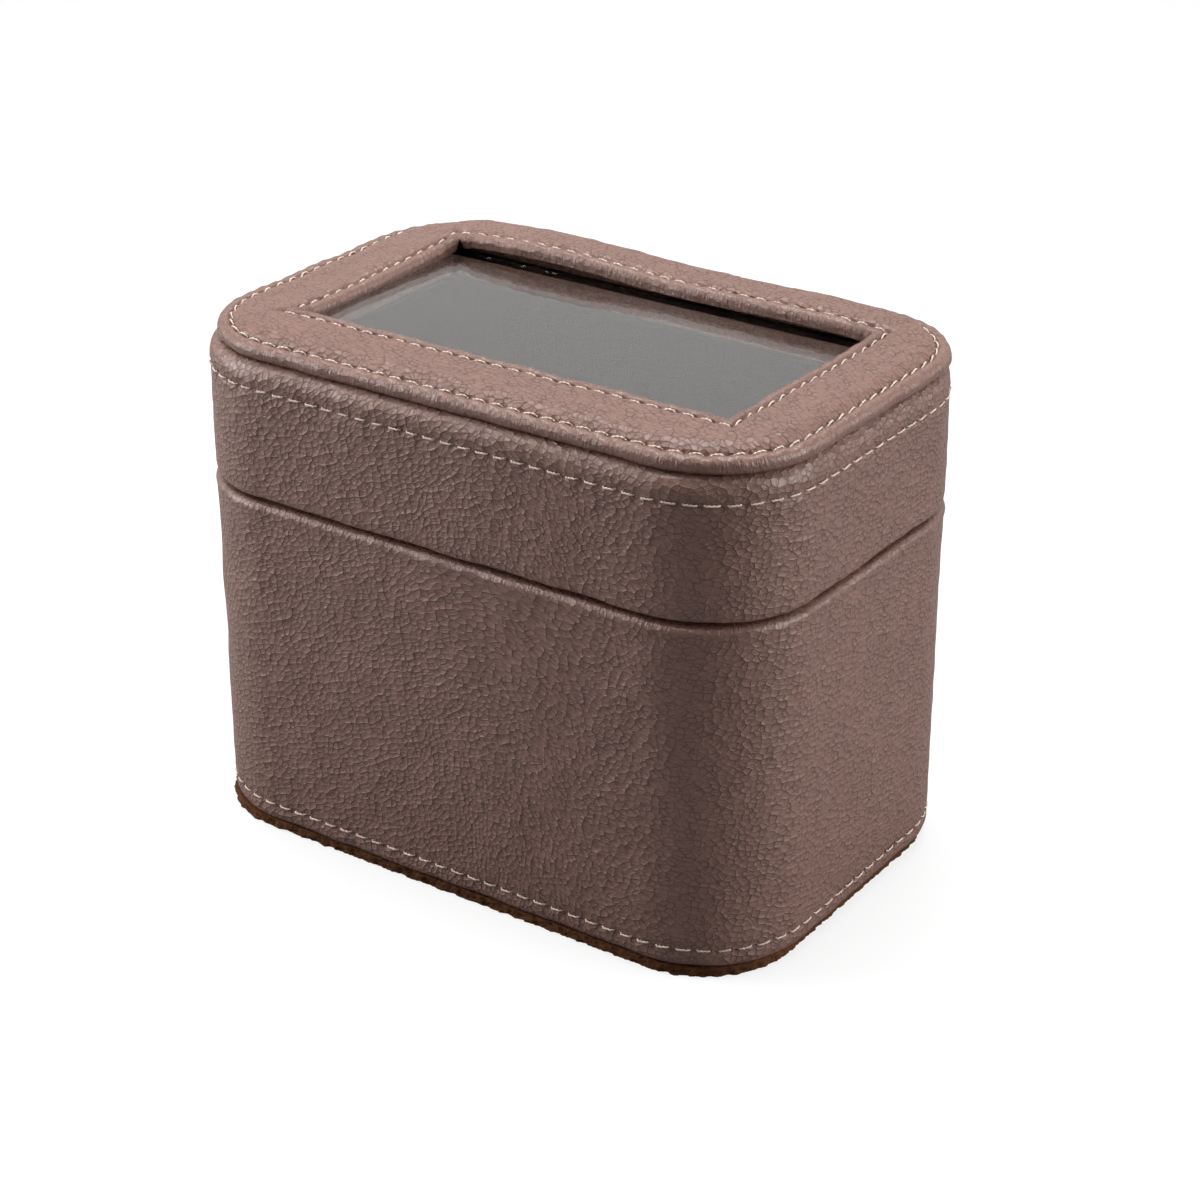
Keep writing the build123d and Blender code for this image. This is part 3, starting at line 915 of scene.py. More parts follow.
class Sewing:
    """Sewn rows: a geometry tree that lays one twisted stitch on each step of a line."""

    turns_per_stitch = 1.3
    rings = 9
    sides = 6
    crest = 1.12
    valley = 0.7
    wobble = ((-0.05, -0.05, -0.07), (0.05, 0.05, 0.07))
    sizes = ((0.93, 0.95, 0.85), (1.05, 1.1, 1.15))

    def __init__(self, finishes: Finishes) -> None:
        """Build the tree.

        Args:
            finishes: where the thread's material is.
        """
        self.material = finishes.thread
        self.tree = self._tree()

    def _tree(self) -> Tree:
        """The tree: points in order become lines, lines are cut at the holes, each step gets a stitch."""
        graph, take, sink = piece_tree(
            "sewn_row", closed=True, stitch_length=0.0025, thread_radius=0.0002, arch=0.0002, dive=0.0005,
            slant=0.0001, flat=3.0, seed=1,
        )
        lines = self._cut_lines(graph, take)
        way = graph.add("GeometryNodeInputMeshEdgeVertices").outputs
        along = graph.vector("SUBTRACT", way["Position 2"], way["Position 1"])
        axes = {"Primary Axis": graph.attribute("up", "FLOAT_VECTOR"), "Secondary Axis": along}
        turned = graph.add("FunctionNodeAxesToRotation", axes, primary_axis="Z", secondary_axis="X")
        kept = {0: lines, "Name": "turn", "Value": turned.outputs[0]}
        hold = graph.add("GeometryNodeStoreNamedAttribute", kept, data_type="QUATERNION", domain="EDGE")
        seats = graph.add("GeometryNodeMeshToPoints", {0: hold.outputs[0]}, mode="EDGES").outputs[0]
        wobble = graph.chance(*self.wobble, take["Seed"])
        aim = graph.turned(graph.attribute("turn", "QUATERNION"), wobble)
        size = graph.chance(*self.sizes, take["Seed"])
        stitch = self._one_stitch(graph, take)
        graph.lay(take, sink, True, Points=seats, Instance=stitch, Rotation=aim, Scale=size)
        return graph.tree

    @staticmethod
    def _cut_lines(graph: Graph, take: Any) -> Socket:
        """Lines through the given points, side by side as their attribute says, cut at every hole."""
        loose = graph.add("GeometryNodeMeshToPoints", {0: take["Geometry"]}).outputs[0]
        order = graph.add("GeometryNodeInputIndex").outputs[0]
        inputs = {0: loose, "Curve Group ID": graph.attribute("side", "INT"), "Weight": order}
        drawn = graph.add("GeometryNodePointsToCurves", inputs)
        closed = graph.add("GeometryNodeSetSplineCyclic", {0: drawn.outputs[0], "Cyclic": take["Closed"]})
        inputs = {0: closed.outputs[0], "Count": graph.attribute("holes", "INT")}
        cut = graph.add("GeometryNodeResampleCurve", inputs, mode="COUNT")
        return graph.add("GeometryNodeCurveToMesh", {0: cut.outputs[0]}).outputs[0]

    def _one_stitch(self, graph: Graph, take: Any) -> Socket:
        """One stitch along X: an arch of twisted thread whose ends dive into their holes."""
        half = graph.math("MULTIPLY", take["Stitch Length"], 0.5)
        start = graph.add("ShaderNodeCombineXYZ", {0: graph.math("MULTIPLY", half, -1.0)}).outputs[0]
        end = graph.add("ShaderNodeCombineXYZ", {0: half}).outputs[0]
        line = graph.stretch(self.rings, Start=start, End=end)
        factor = graph.add("GeometryNodeSplineParameter").outputs["Factor"]
        place = graph.math("MULTIPLY_ADD", factor, 2.0, -1.0)
        bent = graph.math("POWER", graph.math("ABSOLUTE", place), take["Flat"])
        drop = graph.math("ADD", take["Arch"], take["Dive"])
        rise = graph.math("SUBTRACT", take["Arch"], graph.math("MULTIPLY", drop, bent))
        side = graph.math("MULTIPLY", take["Slant"], place)
        offset = graph.add("ShaderNodeCombineXYZ", {1: side, 2: rise}).outputs[0]
        arched = graph.add("GeometryNodeSetPosition", {0: line, "Offset": offset}).outputs[0]
        twist = graph.math("MULTIPLY", factor, self.turns_per_stitch * 2 * math.pi)
        twisted = graph.add("GeometryNodeSetCurveTilt", {0: arched, "Tilt": twist}).outputs[0]
        ring = graph.ring(self.sides, take["Thread Radius"])
        odd = graph.math("MODULO", graph.add("GeometryNodeInputIndex").outputs[0], 2.0)
        lobe = graph.ramp(odd, 0.0, 1.0, self.crest, self.valley)
        place = graph.vector("SCALE", graph.add("GeometryNodeInputPosition").outputs[0], lobe)
        lobed = graph.add("GeometryNodeSetPosition", {0: ring, "Position": place}).outputs[0]
        return graph.tube(twisted, lobed)

    def lay(
        self, name: str, places: np.ndarray, up: np.ndarray, holes: Any, stitch: Stitch, seed: int,
        side: Any = 0, closed: bool = True,
    ) -> Piece:
        """Sew one row.

        Args:
            name: the piece's name.
            places: points of the line, in millimetres.
            up: the leather's direction at each point.
            holes: the number of holes of the row, or of each point's side.
            stitch: how its stitches look.
            seed: fixes their small differences.
            side: which side each point belongs to.
            closed: whether the line closes.

        Returns:
            The row's mesh object.
        """
        numbers = {"holes": holes, "side": side}
        counts = {label: np.full(len(places), value, np.int32) for label, value in numbers.items()}
        piece = Shapes.points(name, places, up=up.astype(np.float32), **counts)
        sizes = {
            "stitch_length": stitch.length * MM,
            "thread_radius": stitch.thread / 2 * MM,
            "arch": stitch.arch * MM,
            "dive": stitch.dive * MM,
            "slant": stitch.slant * MM,
        }
        looks = {"closed": closed, "flat": stitch.flat, "seed": seed, "material": self.material}
        return Shapes.run_tree(piece, self.tree, **sizes, **looks)


@dataclass
class SewnLine:
    """Where the stitches of a row lie beside the stations of a skin."""

    count: int
    phase: np.ndarray

    def hole(self, pitch: float, width: float) -> np.ndarray:
        """A hump of height 1 at each hole, along the stations."""
        return bell(np.minimum(self.phase, 1 - self.phase) * pitch, width)

    def swell(self) -> np.ndarray:
        """From -1 at each hole to 1 at the middle of each stitch."""
        return -np.cos(2 * math.pi * self.phase)


def closed_line(lengths: np.ndarray, pitch: float) -> SewnLine:
    """The stitches of a row that runs all the way round.

    Args:
        lengths: the distance walked to each station, with the total last.
        pitch: the spacing wanted.

    Returns:
        The row, with a hole at the first station.
    """
    count = round(lengths[-1] / pitch)
    return SewnLine(count, (lengths[:-1] / lengths[-1] * count) % 1.0)


@dataclass
class HingePlaces:
    """Room for the hinges in the leather at the back. The leaf is its thickness with a clearance."""

    middles: tuple[float, ...]
    half_length: float
    reach: float
    axis: Pair
    barrel: float
    leaf: float = 0.74
    slack: float = 0.25

    @classmethod
    def measure(cls) -> "HingePlaces":
        """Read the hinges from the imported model."""
        lows, highs = zip(*(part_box(f"hinge_base_leaf_{side}") for side in ("left", "right")))
        low, high = lows[0] / MM, highs[0] / MM
        pin_low, pin_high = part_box("hinge_pin_left")
        axis = ((pin_low.y + pin_high.y) / 2 / MM, (pin_low.z + pin_high.z) / 2 / MM)
        return cls(
            middles=tuple((a.x + b.x) / 2 / MM for a, b in zip(lows, highs)),
            half_length=(high.x - low.x) / 2,
            reach=axis[0] - low.y,
            axis=axis,
            barrel=high.y - axis[0],
        )

    def clear(self, points: np.ndarray, rim: float, up: float) -> None:
        """Press the leather away from the leaves and barrels, in place.

        Args:
            points: the leather's places, in millimetres.
            rim: the height of this half's rim.
            up: 1 where the leather lies above its rim, -1 below.
        """
        for middle in self.middles:
            near = np.abs(points[..., 0] - middle) < self.half_length + self.slack
            deep = points[..., 1] > self.axis[0] - self.reach - self.slack
            level = rim + up * self.leaf
            seat = near & deep & (up * (points[..., 2] - level) < 0)
            points[..., 2] = np.where(seat, level, points[..., 2])
            from_axis = points[..., 1:] - np.array(self.axis)
            distance = np.linalg.norm(from_axis, axis=-1)
            room = self.barrel + self.slack
            tight = near & (distance < room)
            push = np.where(tight, room / np.maximum(distance, 1e-3), 1.0)
            points[..., 1:] = np.array(self.axis) + from_axis * push[..., None]


@dataclass
class WallLeather:
    """The hide round one half of the box, rolled over its rim and its other edge, with its sewn row."""

    name: str
    body: Body
    node: str
    row_name: str
    row_height: float
    rim_is_top: bool
    free_roll: Pair
    rim_roll: float
    thickness: float = 1.2
    turn_in: float = 4.2
    corner: float = 20.5
    station_step: float = 0.62
    wall_step: float = 0.62
    dent: float = 0.16
    hole_depth: float = 0.3
    wander: float = 0.1
    seed: int = 3
    lean: float = -0.5
    swing_from: float = -12.0
    swing_over: float = 45.0
    rim_out: float = 0.0
    rim_gap: float = 0.14
    free_tight: float = 0.4
    tight_rise: float = 1.6
    butt_seam: float = 0.22
    butt_width: float = 0.5
    trough_width: float = 0.75
    hole_size: Pair = (0.5, 0.55)
    swell: Triple = (1.1, 0.8, 0.045)
    waves: Pair = (17.0, 5.5)
    rim_width: float = 0.9
    roll_points: int = 8
    stitch: Stitch = Stitch(
        pitch=3.58, length=2.4, thread=0.36, arch=0.1, dive=0.28, slant=0.05, flat=9.0
    )

    def section(self, low: float, high: float) -> list:
        """The closed line of the leather's section, outside first, from the foot up.

        Args:
            low: the height of its underside.
            high: the height of its top.

        Returns:
            Places as inset and height.
        """
        bottom, top = self._rolls()
        inner = self.turn_in
        skin = self.thickness
        step = self.wall_step
        line = [(inner, low)]
        line += run((inner, low), (bottom[0], low), step)
        line += arc((bottom[0], low + bottom[1]), bottom, 270, 180, self.roll_points)
        line += run((0, low + bottom[1]), (0, high - top[1]), step)
        line += arc((top[0], high - top[1]), top, 180, 90, self.roll_points)
        line += run((top[0], high), (inner, high), step)
        line += [(inner, high), (inner, high - skin), (skin + top[0] / 2, high - skin)]
        line += [(skin, high - skin - top[1] / 2), (skin, low + skin + bottom[1] / 2)]
        line += [(skin + bottom[0] / 2, low + skin), (inner, low + skin)]
        return line

    def build(self, finishes: Finishes, sewing: Sewing, hinges: HingePlaces) -> None:
        """Make the leather and its row of thread.

        Args:
            finishes: the materials.
            sewing: lays the thread.
            hinges: the room that the hinges need.
        """
        corner, low, high = room(self.node)
        rim = high if self.rim_is_top else low
        low, high = (low, high - self.rim_gap) if self.rim_is_top else (low + self.rim_gap, high)
        stations = Outline.inside(corner, self.corner).stations(self.station_step)
        line = np.array(self.section(low, high))
        inset = np.tile(line[:, 0], (len(stations.place), 1))
        height = np.tile(line[:, 1], (len(stations.place), 1))
        walked = stations.lengths(0.0)
        row = closed_line(walked, self.stitch.pitch)
        lift = self._relief(line, walked, row)
        side, rise = section_normals(inset, height, True)
        points = stations.points(inset + side * lift, height + rise * lift)
        hinges.clear(points, rim, -1.0 if self.rim_is_top else 1.0)
        steps = np.linalg.norm(np.diff(line, axis=0, append=line[:1]), axis=1)
        down = np.concatenate([[0.0], np.cumsum(steps)])
        roll = np.stack(np.broadcast_arrays(walked[:, None], down[None, :]), -1)
        maps = {"hide": self._hide_map(roll), "roll": roll}
        tight = self._tight(line, low, high)
        piece = Shapes.sheet(self.name, points, finishes.leather, maps=maps, tight=tight)
        dress(piece, self.body, Slot.LEATHER, self.node)
        self._sew(stations, row, sewing)

    def _rolls(self) -> tuple[Pair, Pair]:
        """The radii of its lower and of its upper roll."""
        rim = (self.rim_roll, self.rim_roll)
        return (self.free_roll, rim) if self.rim_is_top else (rim, self.free_roll)

    def _hide_map(self, flat: np.ndarray) -> np.ndarray:
        """The wall laid flat, with the hide's own direction swung round between left and right."""
        away = flat - flat.mean((0, 1))
        x, y = away[..., 0], away[..., 1]
        share = np.clip((x - self.swing_from) / self.swing_over, 0, 1)
        turn = self.lean * (1 - share * share * (3 - 2 * share))
        cos, sin = np.cos(turn), np.sin(turn)
        return np.stack([x * cos - y * sin, x * sin + y * cos], -1)

    def _tight(self, line: np.ndarray, low: float, high: float) -> np.ndarray:
        """How tightly the hide is drawn along the section: fully over its two rolled edges."""
        bottom, top = self._rolls()
        below = np.clip((low + bottom[1] - line[:, 1]) / bottom[1] * self.tight_rise, 0, 1)
        above = np.clip((line[:, 1] - high + top[1]) / top[1] * self.tight_rise, 0, 1)
        free, rim = (below, above) if self.rim_is_top else (above, below)
        return np.maximum(free * self.free_tight, rim)[None, :]

    def _relief(self, line: np.ndarray, walked: np.ndarray, row: SewnLine) -> np.ndarray:
        """How far the leather stands out of its plain section, for stations by section points."""
        outside = (line[:, 0] < self.thickness - 0.01).astype(float)[None, :]
        at = walked[:-1, None], line[None, :, 1]
        broad, fine = (Drift(self.seed + place, wave).at(*at) for place, wave in enumerate(self.waves))
        away = (line[:, 1] - self.row_height)[None, :]
        trough = bell(away, self.trough_width) * self.dent
        high, wide = self.hole_size
        holes = bell(away, high) * row.hole(self.stitch.pitch, wide)[:, None] * self.hole_depth
        reach, width, rise = self.swell
        swell = bell(np.abs(away) - reach, width) * row.swell()[:, None] * rise
        from_seam = np.minimum(walked[:-1], walked[-1] - walked[:-1])[:, None]
        butt = bell(from_seam, self.butt_width) * self.butt_seam
        rim = line[:, 1].max() - 0.9 if self.rim_is_top else line[:, 1].min() + 0.3
        at_rim = bell((line[:, 1] - rim)[None, :], self.rim_width) * self.rim_out
        return (self.wander * (broad + 0.4 * fine) - trough - holes + swell - butt + at_rim) * outside

    def _sew(self, stations: Stations, row: SewnLine, sewing: Sewing) -> None:
        """Lay the thread in the leather's trough."""
        depth = self.dent - 0.5 * self.stitch.thread
        places = stand(stations.place - stations.outward * depth, self.row_height)
        up = stand(stations.outward, 0.0)
        thread = sewing.lay(self.row_name, places, up, row.count, self.stitch, self.seed)
        dress(thread, self.body, Slot.LEATHER)


@dataclass(frozen=True)
class Swell:
    """A place on one side of the frame where the padding stands higher or lower."""

    side: Pair
    place: float
    width: float
    rise: float

    def at(self, stations: Stations) -> np.ndarray:
        """The rise at each station."""
        toward = np.clip(stations.outward @ np.array(self.side), 0, 1) ** 2
        along = stations.place[:, 0 if self.side[0] == 0 else 1]
        return self.rise * bell(along - self.place, self.width) * toward


@dataclass(frozen=True)
class Press:
    """How a sewn row presses padded leather: its channel and holes, and the swells beside its stitches.

    Each swell has its distance from the row, its width and its rise.
    """

    channel: float
    width: float
    swells: tuple[Triple, ...]
    hole_depth: float = 0.42
    hole_width: float = 0.5

    def into(self, lift: np.ndarray, away: np.ndarray, row: SewnLine, pitch: float) -> np.ndarray:
        """The leather's relief with the row pressed into it.

        Args:
            lift: the relief before.
            away: the distance from the row at each point.
            row: where its stitches lie.
            pitch: their spacing.

        Returns:
            The relief.
        """
        hole = row.hole(pitch, self.hole_width)[:, None]
        swell = row.swell()[:, None]
        lift = lift - bell(away, self.width) * (self.channel + self.hole_depth * hole)
        for place, width, rise in self.swells:
            lift = lift + bell(away - place, width) * swell * rise
        return lift


@dataclass(frozen=True)
class Columns:
    """Which columns of the frame's section lie on its features, and each column's margin to the window."""

    valley: int
    shoulder: int
    crown: int
    row: int
    end: int
    margin: np.ndarray


@dataclass
class PaddedFrame:
    """The sewn, padded frame on the lid: a bead along its edge, a domed pad and a roll at the window.

    The real frame was glued on a little off centre and its padding is uneven, and both are kept.
    """

    corner: float = 20.5
    bead: float = 1.5
    bead_rise: float = 1.47
    pad_inset: float = 1.6
    shoulder: float = 4.8
    window: Pair = (43.7, 22.7)
    roll: float = 1.4
    row_margin: float = 2.5
    on_row: float = 0.02
    pad_margin: float = 4.4
    under_margin: float = 4.3
    shift: Pair = (0.5, 0.5)
    window_shift: Pair = (0.3, 0.4)
    fall: float = 0.3
    step: float = 0.5
    outer_press: Press = Press(0.12, 0.4, ((-1.3, 0.8, 0.13), (1.3, 0.9, 0.07)))
    inner_press: Press = Press(0.22, 0.5, ((1.2, 0.8, 0.08), (-1.3, 0.9, 0.09)))
    wander: Triple = (0.09, 0.045, 0.06)
    waves: Triple = (16.0, 5.0, 7.0)
    pucker_pitch: float = 2.3
    pucker_rise: float = 0.05
    pucker_sway: Pair = (1.5, 4.0)
    pucker_band: Pair = (1.8, 1.6)
    across_share: float = 0.1
    end_calm: float = 1.2
    thread_sink: float = 0.1
    thread_lean: float = 0.35
    thread_rise: float = 0.94
    arc_points: int = 18
    crown_points: int = 16
    channel_points: int = 8
    roll_points: int = 20
    roll_end: float = 182.0
    tuck: float = 0.05
    lip: Pair = (0.1, 0.12)
    lip_step: float = 0.2
    tight_width: float = 0.8
    calm: float = 0.5
    calm_width: float = 45.0
    calm_from: Pair = (-60.0, 20.0)
    dark_from: float = 0.4
    gap_top: float = 1.9
    gap_reach: float = 2.2
    gap_edge: float = 3.0
    gap_half: tuple[float, ...] = (0.6, 1.25, 0.55, 0.5)
    swells: tuple[Swell, ...] = (
        Swell((0, 1), 0.0, 200.0, 0.45),
        Swell((0, 1), -26.0, 18.0, 1.0),
        Swell((0, 1), -14.0, 12.0, 0.3),
        Swell((1, 0), 12.0, 24.0, -0.35),
        Swell((0, 1), 30.0, 16.0, 0.4),
        Swell((-1, 0), -8.0, 28.0, -1.1),
    )
    outer: Stitch = Stitch(pitch=3.45, length=2.6, thread=0.37, arch=0.26, dive=0.3, slant=0.22)
    inner: Stitch = Stitch(pitch=3.43, length=2.5, thread=0.37, arch=0.26, dive=0.3, slant=0.22)
    seed: int = 11

    def build(self, finishes: Finishes, sewing: Sewing) -> None:
        """Make the frame's leather and its two rows of thread.

        Args:
            finishes: the materials.
            sewing: lays the thread.
        """
        low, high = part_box("frame_leather")
        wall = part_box("lid_leather_wrap")[1]
        self.bottom, self.top = low.z / MM, high.z / MM
        self.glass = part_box("window_pane")[1].z / MM
        self.inset = (wall.x - high.x) / MM
        self.middle = np.array(self.shift) + np.array(self.window_shift)
        self.stations = Outline.inside(wall, self.corner).stations(self.step).moved(self.shift)
        self.raised = sum(swell.at(self.stations) for swell in self.swells)
        self.reach, self.stretch = self.stations.reach(self.window, self.middle)
        inset, height = self._section()
        steps = np.hypot(np.diff(inset, axis=1), np.diff(height, axis=1))
        self.walked = np.concatenate([np.zeros((len(inset), 1)), np.cumsum(steps, axis=1)], 1)
        outer_row, outer_line = self._outer_line()
        margin = self.reach - self.stretch * self.row_margin
        inner_at = self.stations.offset(margin[:, None])[:, 0] - self.middle
        lift = self._relief(outer_row, self._inner_phase(inner_at))
        side, rise = section_normals(inset, height, False)
        height = height + rise * lift
        inset, open_share = self._open_mitres(inset + side * lift, height)
        hides = (finishes.leather, finishes.slit_shade_and_raw_back)
        points, maps = self.stations.points(inset, height), self._maps(inset)
        piece = Shapes.sheet("frame_leather_sewn", points, *hides, maps=maps, tight=self._tight())
        self._darken(piece, open_share)
        dress(piece, Body.LID, Slot.LEATHER, "frame_leather", "frame_foam")
        self._sew_outer(sewing, outer_row, outer_line)
        self._sew_inner(sewing, inner_at)

    def _row_level(self) -> float:
        """The height of the channel that the inner row lies in."""
        return self.glass + self.roll + math.sqrt(self.roll**2 - (self.row_margin - self.roll) ** 2)

    def _outer_profile(self) -> list:
        """The section's outer part, from the lid up over the bead and the pad's shoulder."""
        bead_at, pad_at = self._centres()
        valley = self._valley()
        start = 180 + math.degrees(math.asin(self.bead_rise / self.bead))
        bead_end = math.degrees(math.atan2(valley[1] - bead_at[1], valley[0] - bead_at[0]))
        pad_start = math.degrees(math.atan2(valley[1] - pad_at[1], valley[0] - pad_at[0]))
        outer = arc(bead_at, (self.bead, self.bead), start, bead_end, self.arc_points)
        pad = (self.shoulder, self.shoulder)
        return outer + arc(pad_at, pad, pad_start, 90, self.arc_points)[1:]

    def _inner_profile(self) -> list:
        """The section's inner part, as margin and height: pad edge, channel, roll and the tucked edge."""
        across = self.pad_margin - self.row_margin
        deep = self.top - self._row_level()
        bend = (across**2 + deep**2) / (2 * deep)
        end = 90 + math.degrees(math.asin(across / bend))
        start = math.degrees(math.acos((self.row_margin - self.roll) / self.roll))
        inner = arc((self.pad_margin, self.top - bend), (bend, bend), 90, end, self.channel_points)
        middle, roll = (self.roll, self.glass + self.roll), (self.roll, self.roll)
        inner += arc(middle, roll, start, self.roll_end, self.roll_points)[1:]
        inner += run(inner[-1], (self.lip[0], self.glass + self.lip[1]), self.lip_step)
        return inner + [(self.under_margin, level + self.tuck) for level in (self.glass, self.bottom)]

    def _section(self) -> tuple[np.ndarray, np.ndarray]:
        """The frame's plain section at every station.

        Returns:
            Insets and heights, for stations by section points.
        """
        outer, inner = np.array(self._outer_profile()), np.array(self._inner_profile())
        count = self.crown_points
        first_inner = len(outer) + count - 1
        self.columns = Columns(
            valley=self.arc_points - 1,
            shoulder=len(outer) - 1,
            crown=len(outer) + count // 2,
            row=first_inner + self.channel_points - 1,
            end=first_inner + len(inner) - 3,
            margin=np.concatenate([np.full(first_inner, math.inf), inner[:, 0]]),
        )
        between = np.arange(1, count) / count
        from_window = self.reach[:, None] - self.stretch[:, None] * inner[None, :, 0]
        crown = outer[-1, 0] * (1 - between) + from_window[:, :1] * between
        inset = np.concatenate([np.tile(outer[:, 0], (len(crown), 1)), crown, from_window], 1)
        level = np.concatenate([outer[:, 1], np.full(count - 1, self.top), inner[:, 1]])
        column = np.arange(len(level))
        shoulder = self.columns.shoulder - self.columns.valley
        carried = np.clip((column - self.columns.valley) / shoulder, 0, 1)
        carried = carried * (column < len(level) - 1)
        outer_part = carried * np.clip((first_inner - column) / count, 0, 1)
        back = np.clip(self.stations.outward[:, 1], 0, 1)[:, None] ** 2
        height = level[None, :] + carried[None, :] * self.raised[:, None]
        return inset, height - self.fall * outer_part[None, :] * (1 - back)

    def _past(self, column: int) -> np.ndarray:
        """How far past one of its columns each point of the section lies."""
        return self.walked - self.walked[:, column][:, None]

    def _centres(self) -> tuple[Pair, Pair]:
        """The middles of the bead's and of the shoulder's arcs, in inset and height."""
        bead_at = (self.inset + self.bead, self.bottom + self.bead_rise)
        return bead_at, (self.inset + self.pad_inset + self.shoulder, self.top - self.shoulder)

    def _valley(self) -> Pair:
        """Where the bead meets the pad's shoulder, in inset and height."""
        bead_at, pad_at = self._centres()
        gap = math.dist(bead_at, pad_at)
        along = (gap**2 + self.bead**2 - self.shoulder**2) / (2 * gap)
        rise = math.sqrt(self.bead**2 - along**2)
        way = ((pad_at[0] - bead_at[0]) / gap, (pad_at[1] - bead_at[1]) / gap)
        return bead_at[0] + way[0] * along - way[1] * rise, bead_at[1] + way[1] * along + way[0] * rise

    def _outer_line(self) -> tuple[SewnLine, np.ndarray]:
        """The outer row's stitches and the places and directions of its line."""
        inset, height = self._valley()
        row = closed_line(self.stations.lengths(inset), self.outer.pitch)
        line = self.stations.place - self.stations.outward * inset
        up = stand(self.stations.outward * self.thread_lean, self.thread_rise)
        return row, np.concatenate([stand(line, height), up], 1)

    def _row_half(self) -> np.ndarray:
        """Half the size of the inner row's rectangle."""
        return np.array(self.window) + self.row_margin

    def _side_count(self, half: float) -> int:
        """Stitches along one side of the inner row."""
        return round(2 * half / self.inner.pitch)

    def _inner_phase(self, at: np.ndarray) -> SewnLine:
        """The inner row's stitches as the stations pass them, counted along each side."""
        half = self._row_half()
        on_x = np.abs(np.abs(at[:, 1]) - half[1]) < np.abs(np.abs(at[:, 0]) - half[0])
        along = np.where(on_x, at[:, 0], at[:, 1])
        length = np.where(on_x, half[0], half[1])
        counts = np.where(on_x, self._side_count(half[0]), self._side_count(half[1]))
        return SewnLine(0, ((along + length) / (2 * length) * counts) % 1.0)

    def _relief(self, outer: SewnLine, inner: SewnLine) -> np.ndarray:
        """How far the leather stands out of its plain section."""
        from_valley, from_row = self._past(self.columns.valley), self._past(self.columns.row)
        u = self.stations.lengths(0.0)[:-1, None]
        broad, fine, across = (Drift(self.seed + place, wave) for place, wave in enumerate(self.waves))
        lift = self.wander[0] * broad.at(u, self.walked) + self.wander[1] * fine.at(u, self.walked)
        lift += self.wander[2] * across.at(u, self.walked * self.across_share) * (from_row > 0)
        lift = self.outer_press.into(lift, from_valley, outer, self.outer.pitch)
        turn = np.abs(self.stations.outward).min(1)[:, None]
        sway, slow = self.pucker_sway
        beside, width = self.pucker_band
        gathers = np.sin(u * 2 * math.pi / self.pucker_pitch + sway * np.sin(u / slow))
        lift += self.pucker_rise * gathers * np.clip(turn * 2, 0, 1) * bell(from_valley - beside, width)
        lift = self.inner_press.into(lift, from_row, inner, self.inner.pitch)
        to_end = -self._past(self.columns.end)
        return lift * np.clip(to_end / self.end_calm, 0, 1) * np.clip(self.walked, 0, 1)

    def _open_mitres(self, inset: np.ndarray, height: np.ndarray) -> tuple[np.ndarray, np.ndarray]:
        """Part the roll where its leather is slit at the window's corners, widest at the glass."""
        corner = self.stations.offset(self.reach[:, None])[:, 0] - self.middle
        away = np.linalg.norm(np.abs(corner) - np.array(self.window), axis=1)[:, None]
        right, back = corner[:, 0] >= 0, corner[:, 1] >= 0
        quarter = np.where(right, np.where(back, 2, 3), np.where(back, 1, 0))
        top = self.glass + self.gap_top + self.raised[:, None]
        depth = np.clip((top - height) / self.gap_top, 0, 1)
        width = np.array(self.gap_half)[quarter][:, None] * depth
        share = np.clip(self.gap_edge - self.gap_edge * away / np.maximum(width, 1e-3), 0, 1) * (depth > 0)
        share = share * (self.columns.margin < self.row_margin)[None, :]
        return inset - share * self.gap_reach * self.stretch[:, None], share

    def _darken(self, piece: Piece, open_share: np.ndarray) -> None:
        """Give the faces inside the slit corners a dark finish: the hide's raw back, and painted shade."""
        inside = open_share.ravel() > self.dark_from
        for face in piece.data.polygons:
            if all(inside[corner] for corner in face.vertices):
                face.material_index = 1

    def _maps(self, inset: np.ndarray) -> dict[str, np.ndarray]:
        """Flat maps: the hide seen from above and rolled out to its edges, and lengths round and across."""
        crown = self.columns.crown
        middle = self.stations.offset(inset[:, crown : crown + 1])
        hide = middle - self.stations.outward[:, None, :] * self._past(crown)[..., None]
        hide = np.concatenate([hide, hide[:, :1]], 1)
        across = np.concatenate([self.walked, self.walked[:, -1:]], 1)
        across = np.concatenate([across, across[:1]], 0)
        around = np.broadcast_to(self.stations.lengths(0.0)[:, None], across.shape)
        return {"hide": np.concatenate([hide, hide[:1]], 0), "roll": np.stack([around, across], -1)}

    def _tight(self) -> np.ndarray:
        """How tightly the hide is drawn: fully over the bead and the roll, and more at the back left."""
        on_bead = np.clip(0.5 - self._past(self.columns.valley) / self.tight_width, 0, 1)
        on_roll = np.clip(0.5 + self._past(self.columns.row) / self.tight_width, 0, 1)
        from_left = np.linalg.norm(self.stations.place - np.array(self.calm_from), axis=1)
        calm = self.calm * bell(from_left, self.calm_width)[:, None]
        return np.maximum(np.maximum(on_bead, on_roll), calm)

    def _sew_outer(self, sewing: Sewing, row: SewnLine, line: np.ndarray) -> None:
        """Lay the row between the bead and the pad."""
        places = line[:, :3] + line[:, 3:] * (0.5 * self.outer.thread - self.thread_sink)
        thread = sewing.lay("thread_frame_outer", places, line[:, 3:], row.count, self.outer, self.seed)
        dress(thread, Body.LID, Slot.LEATHER)

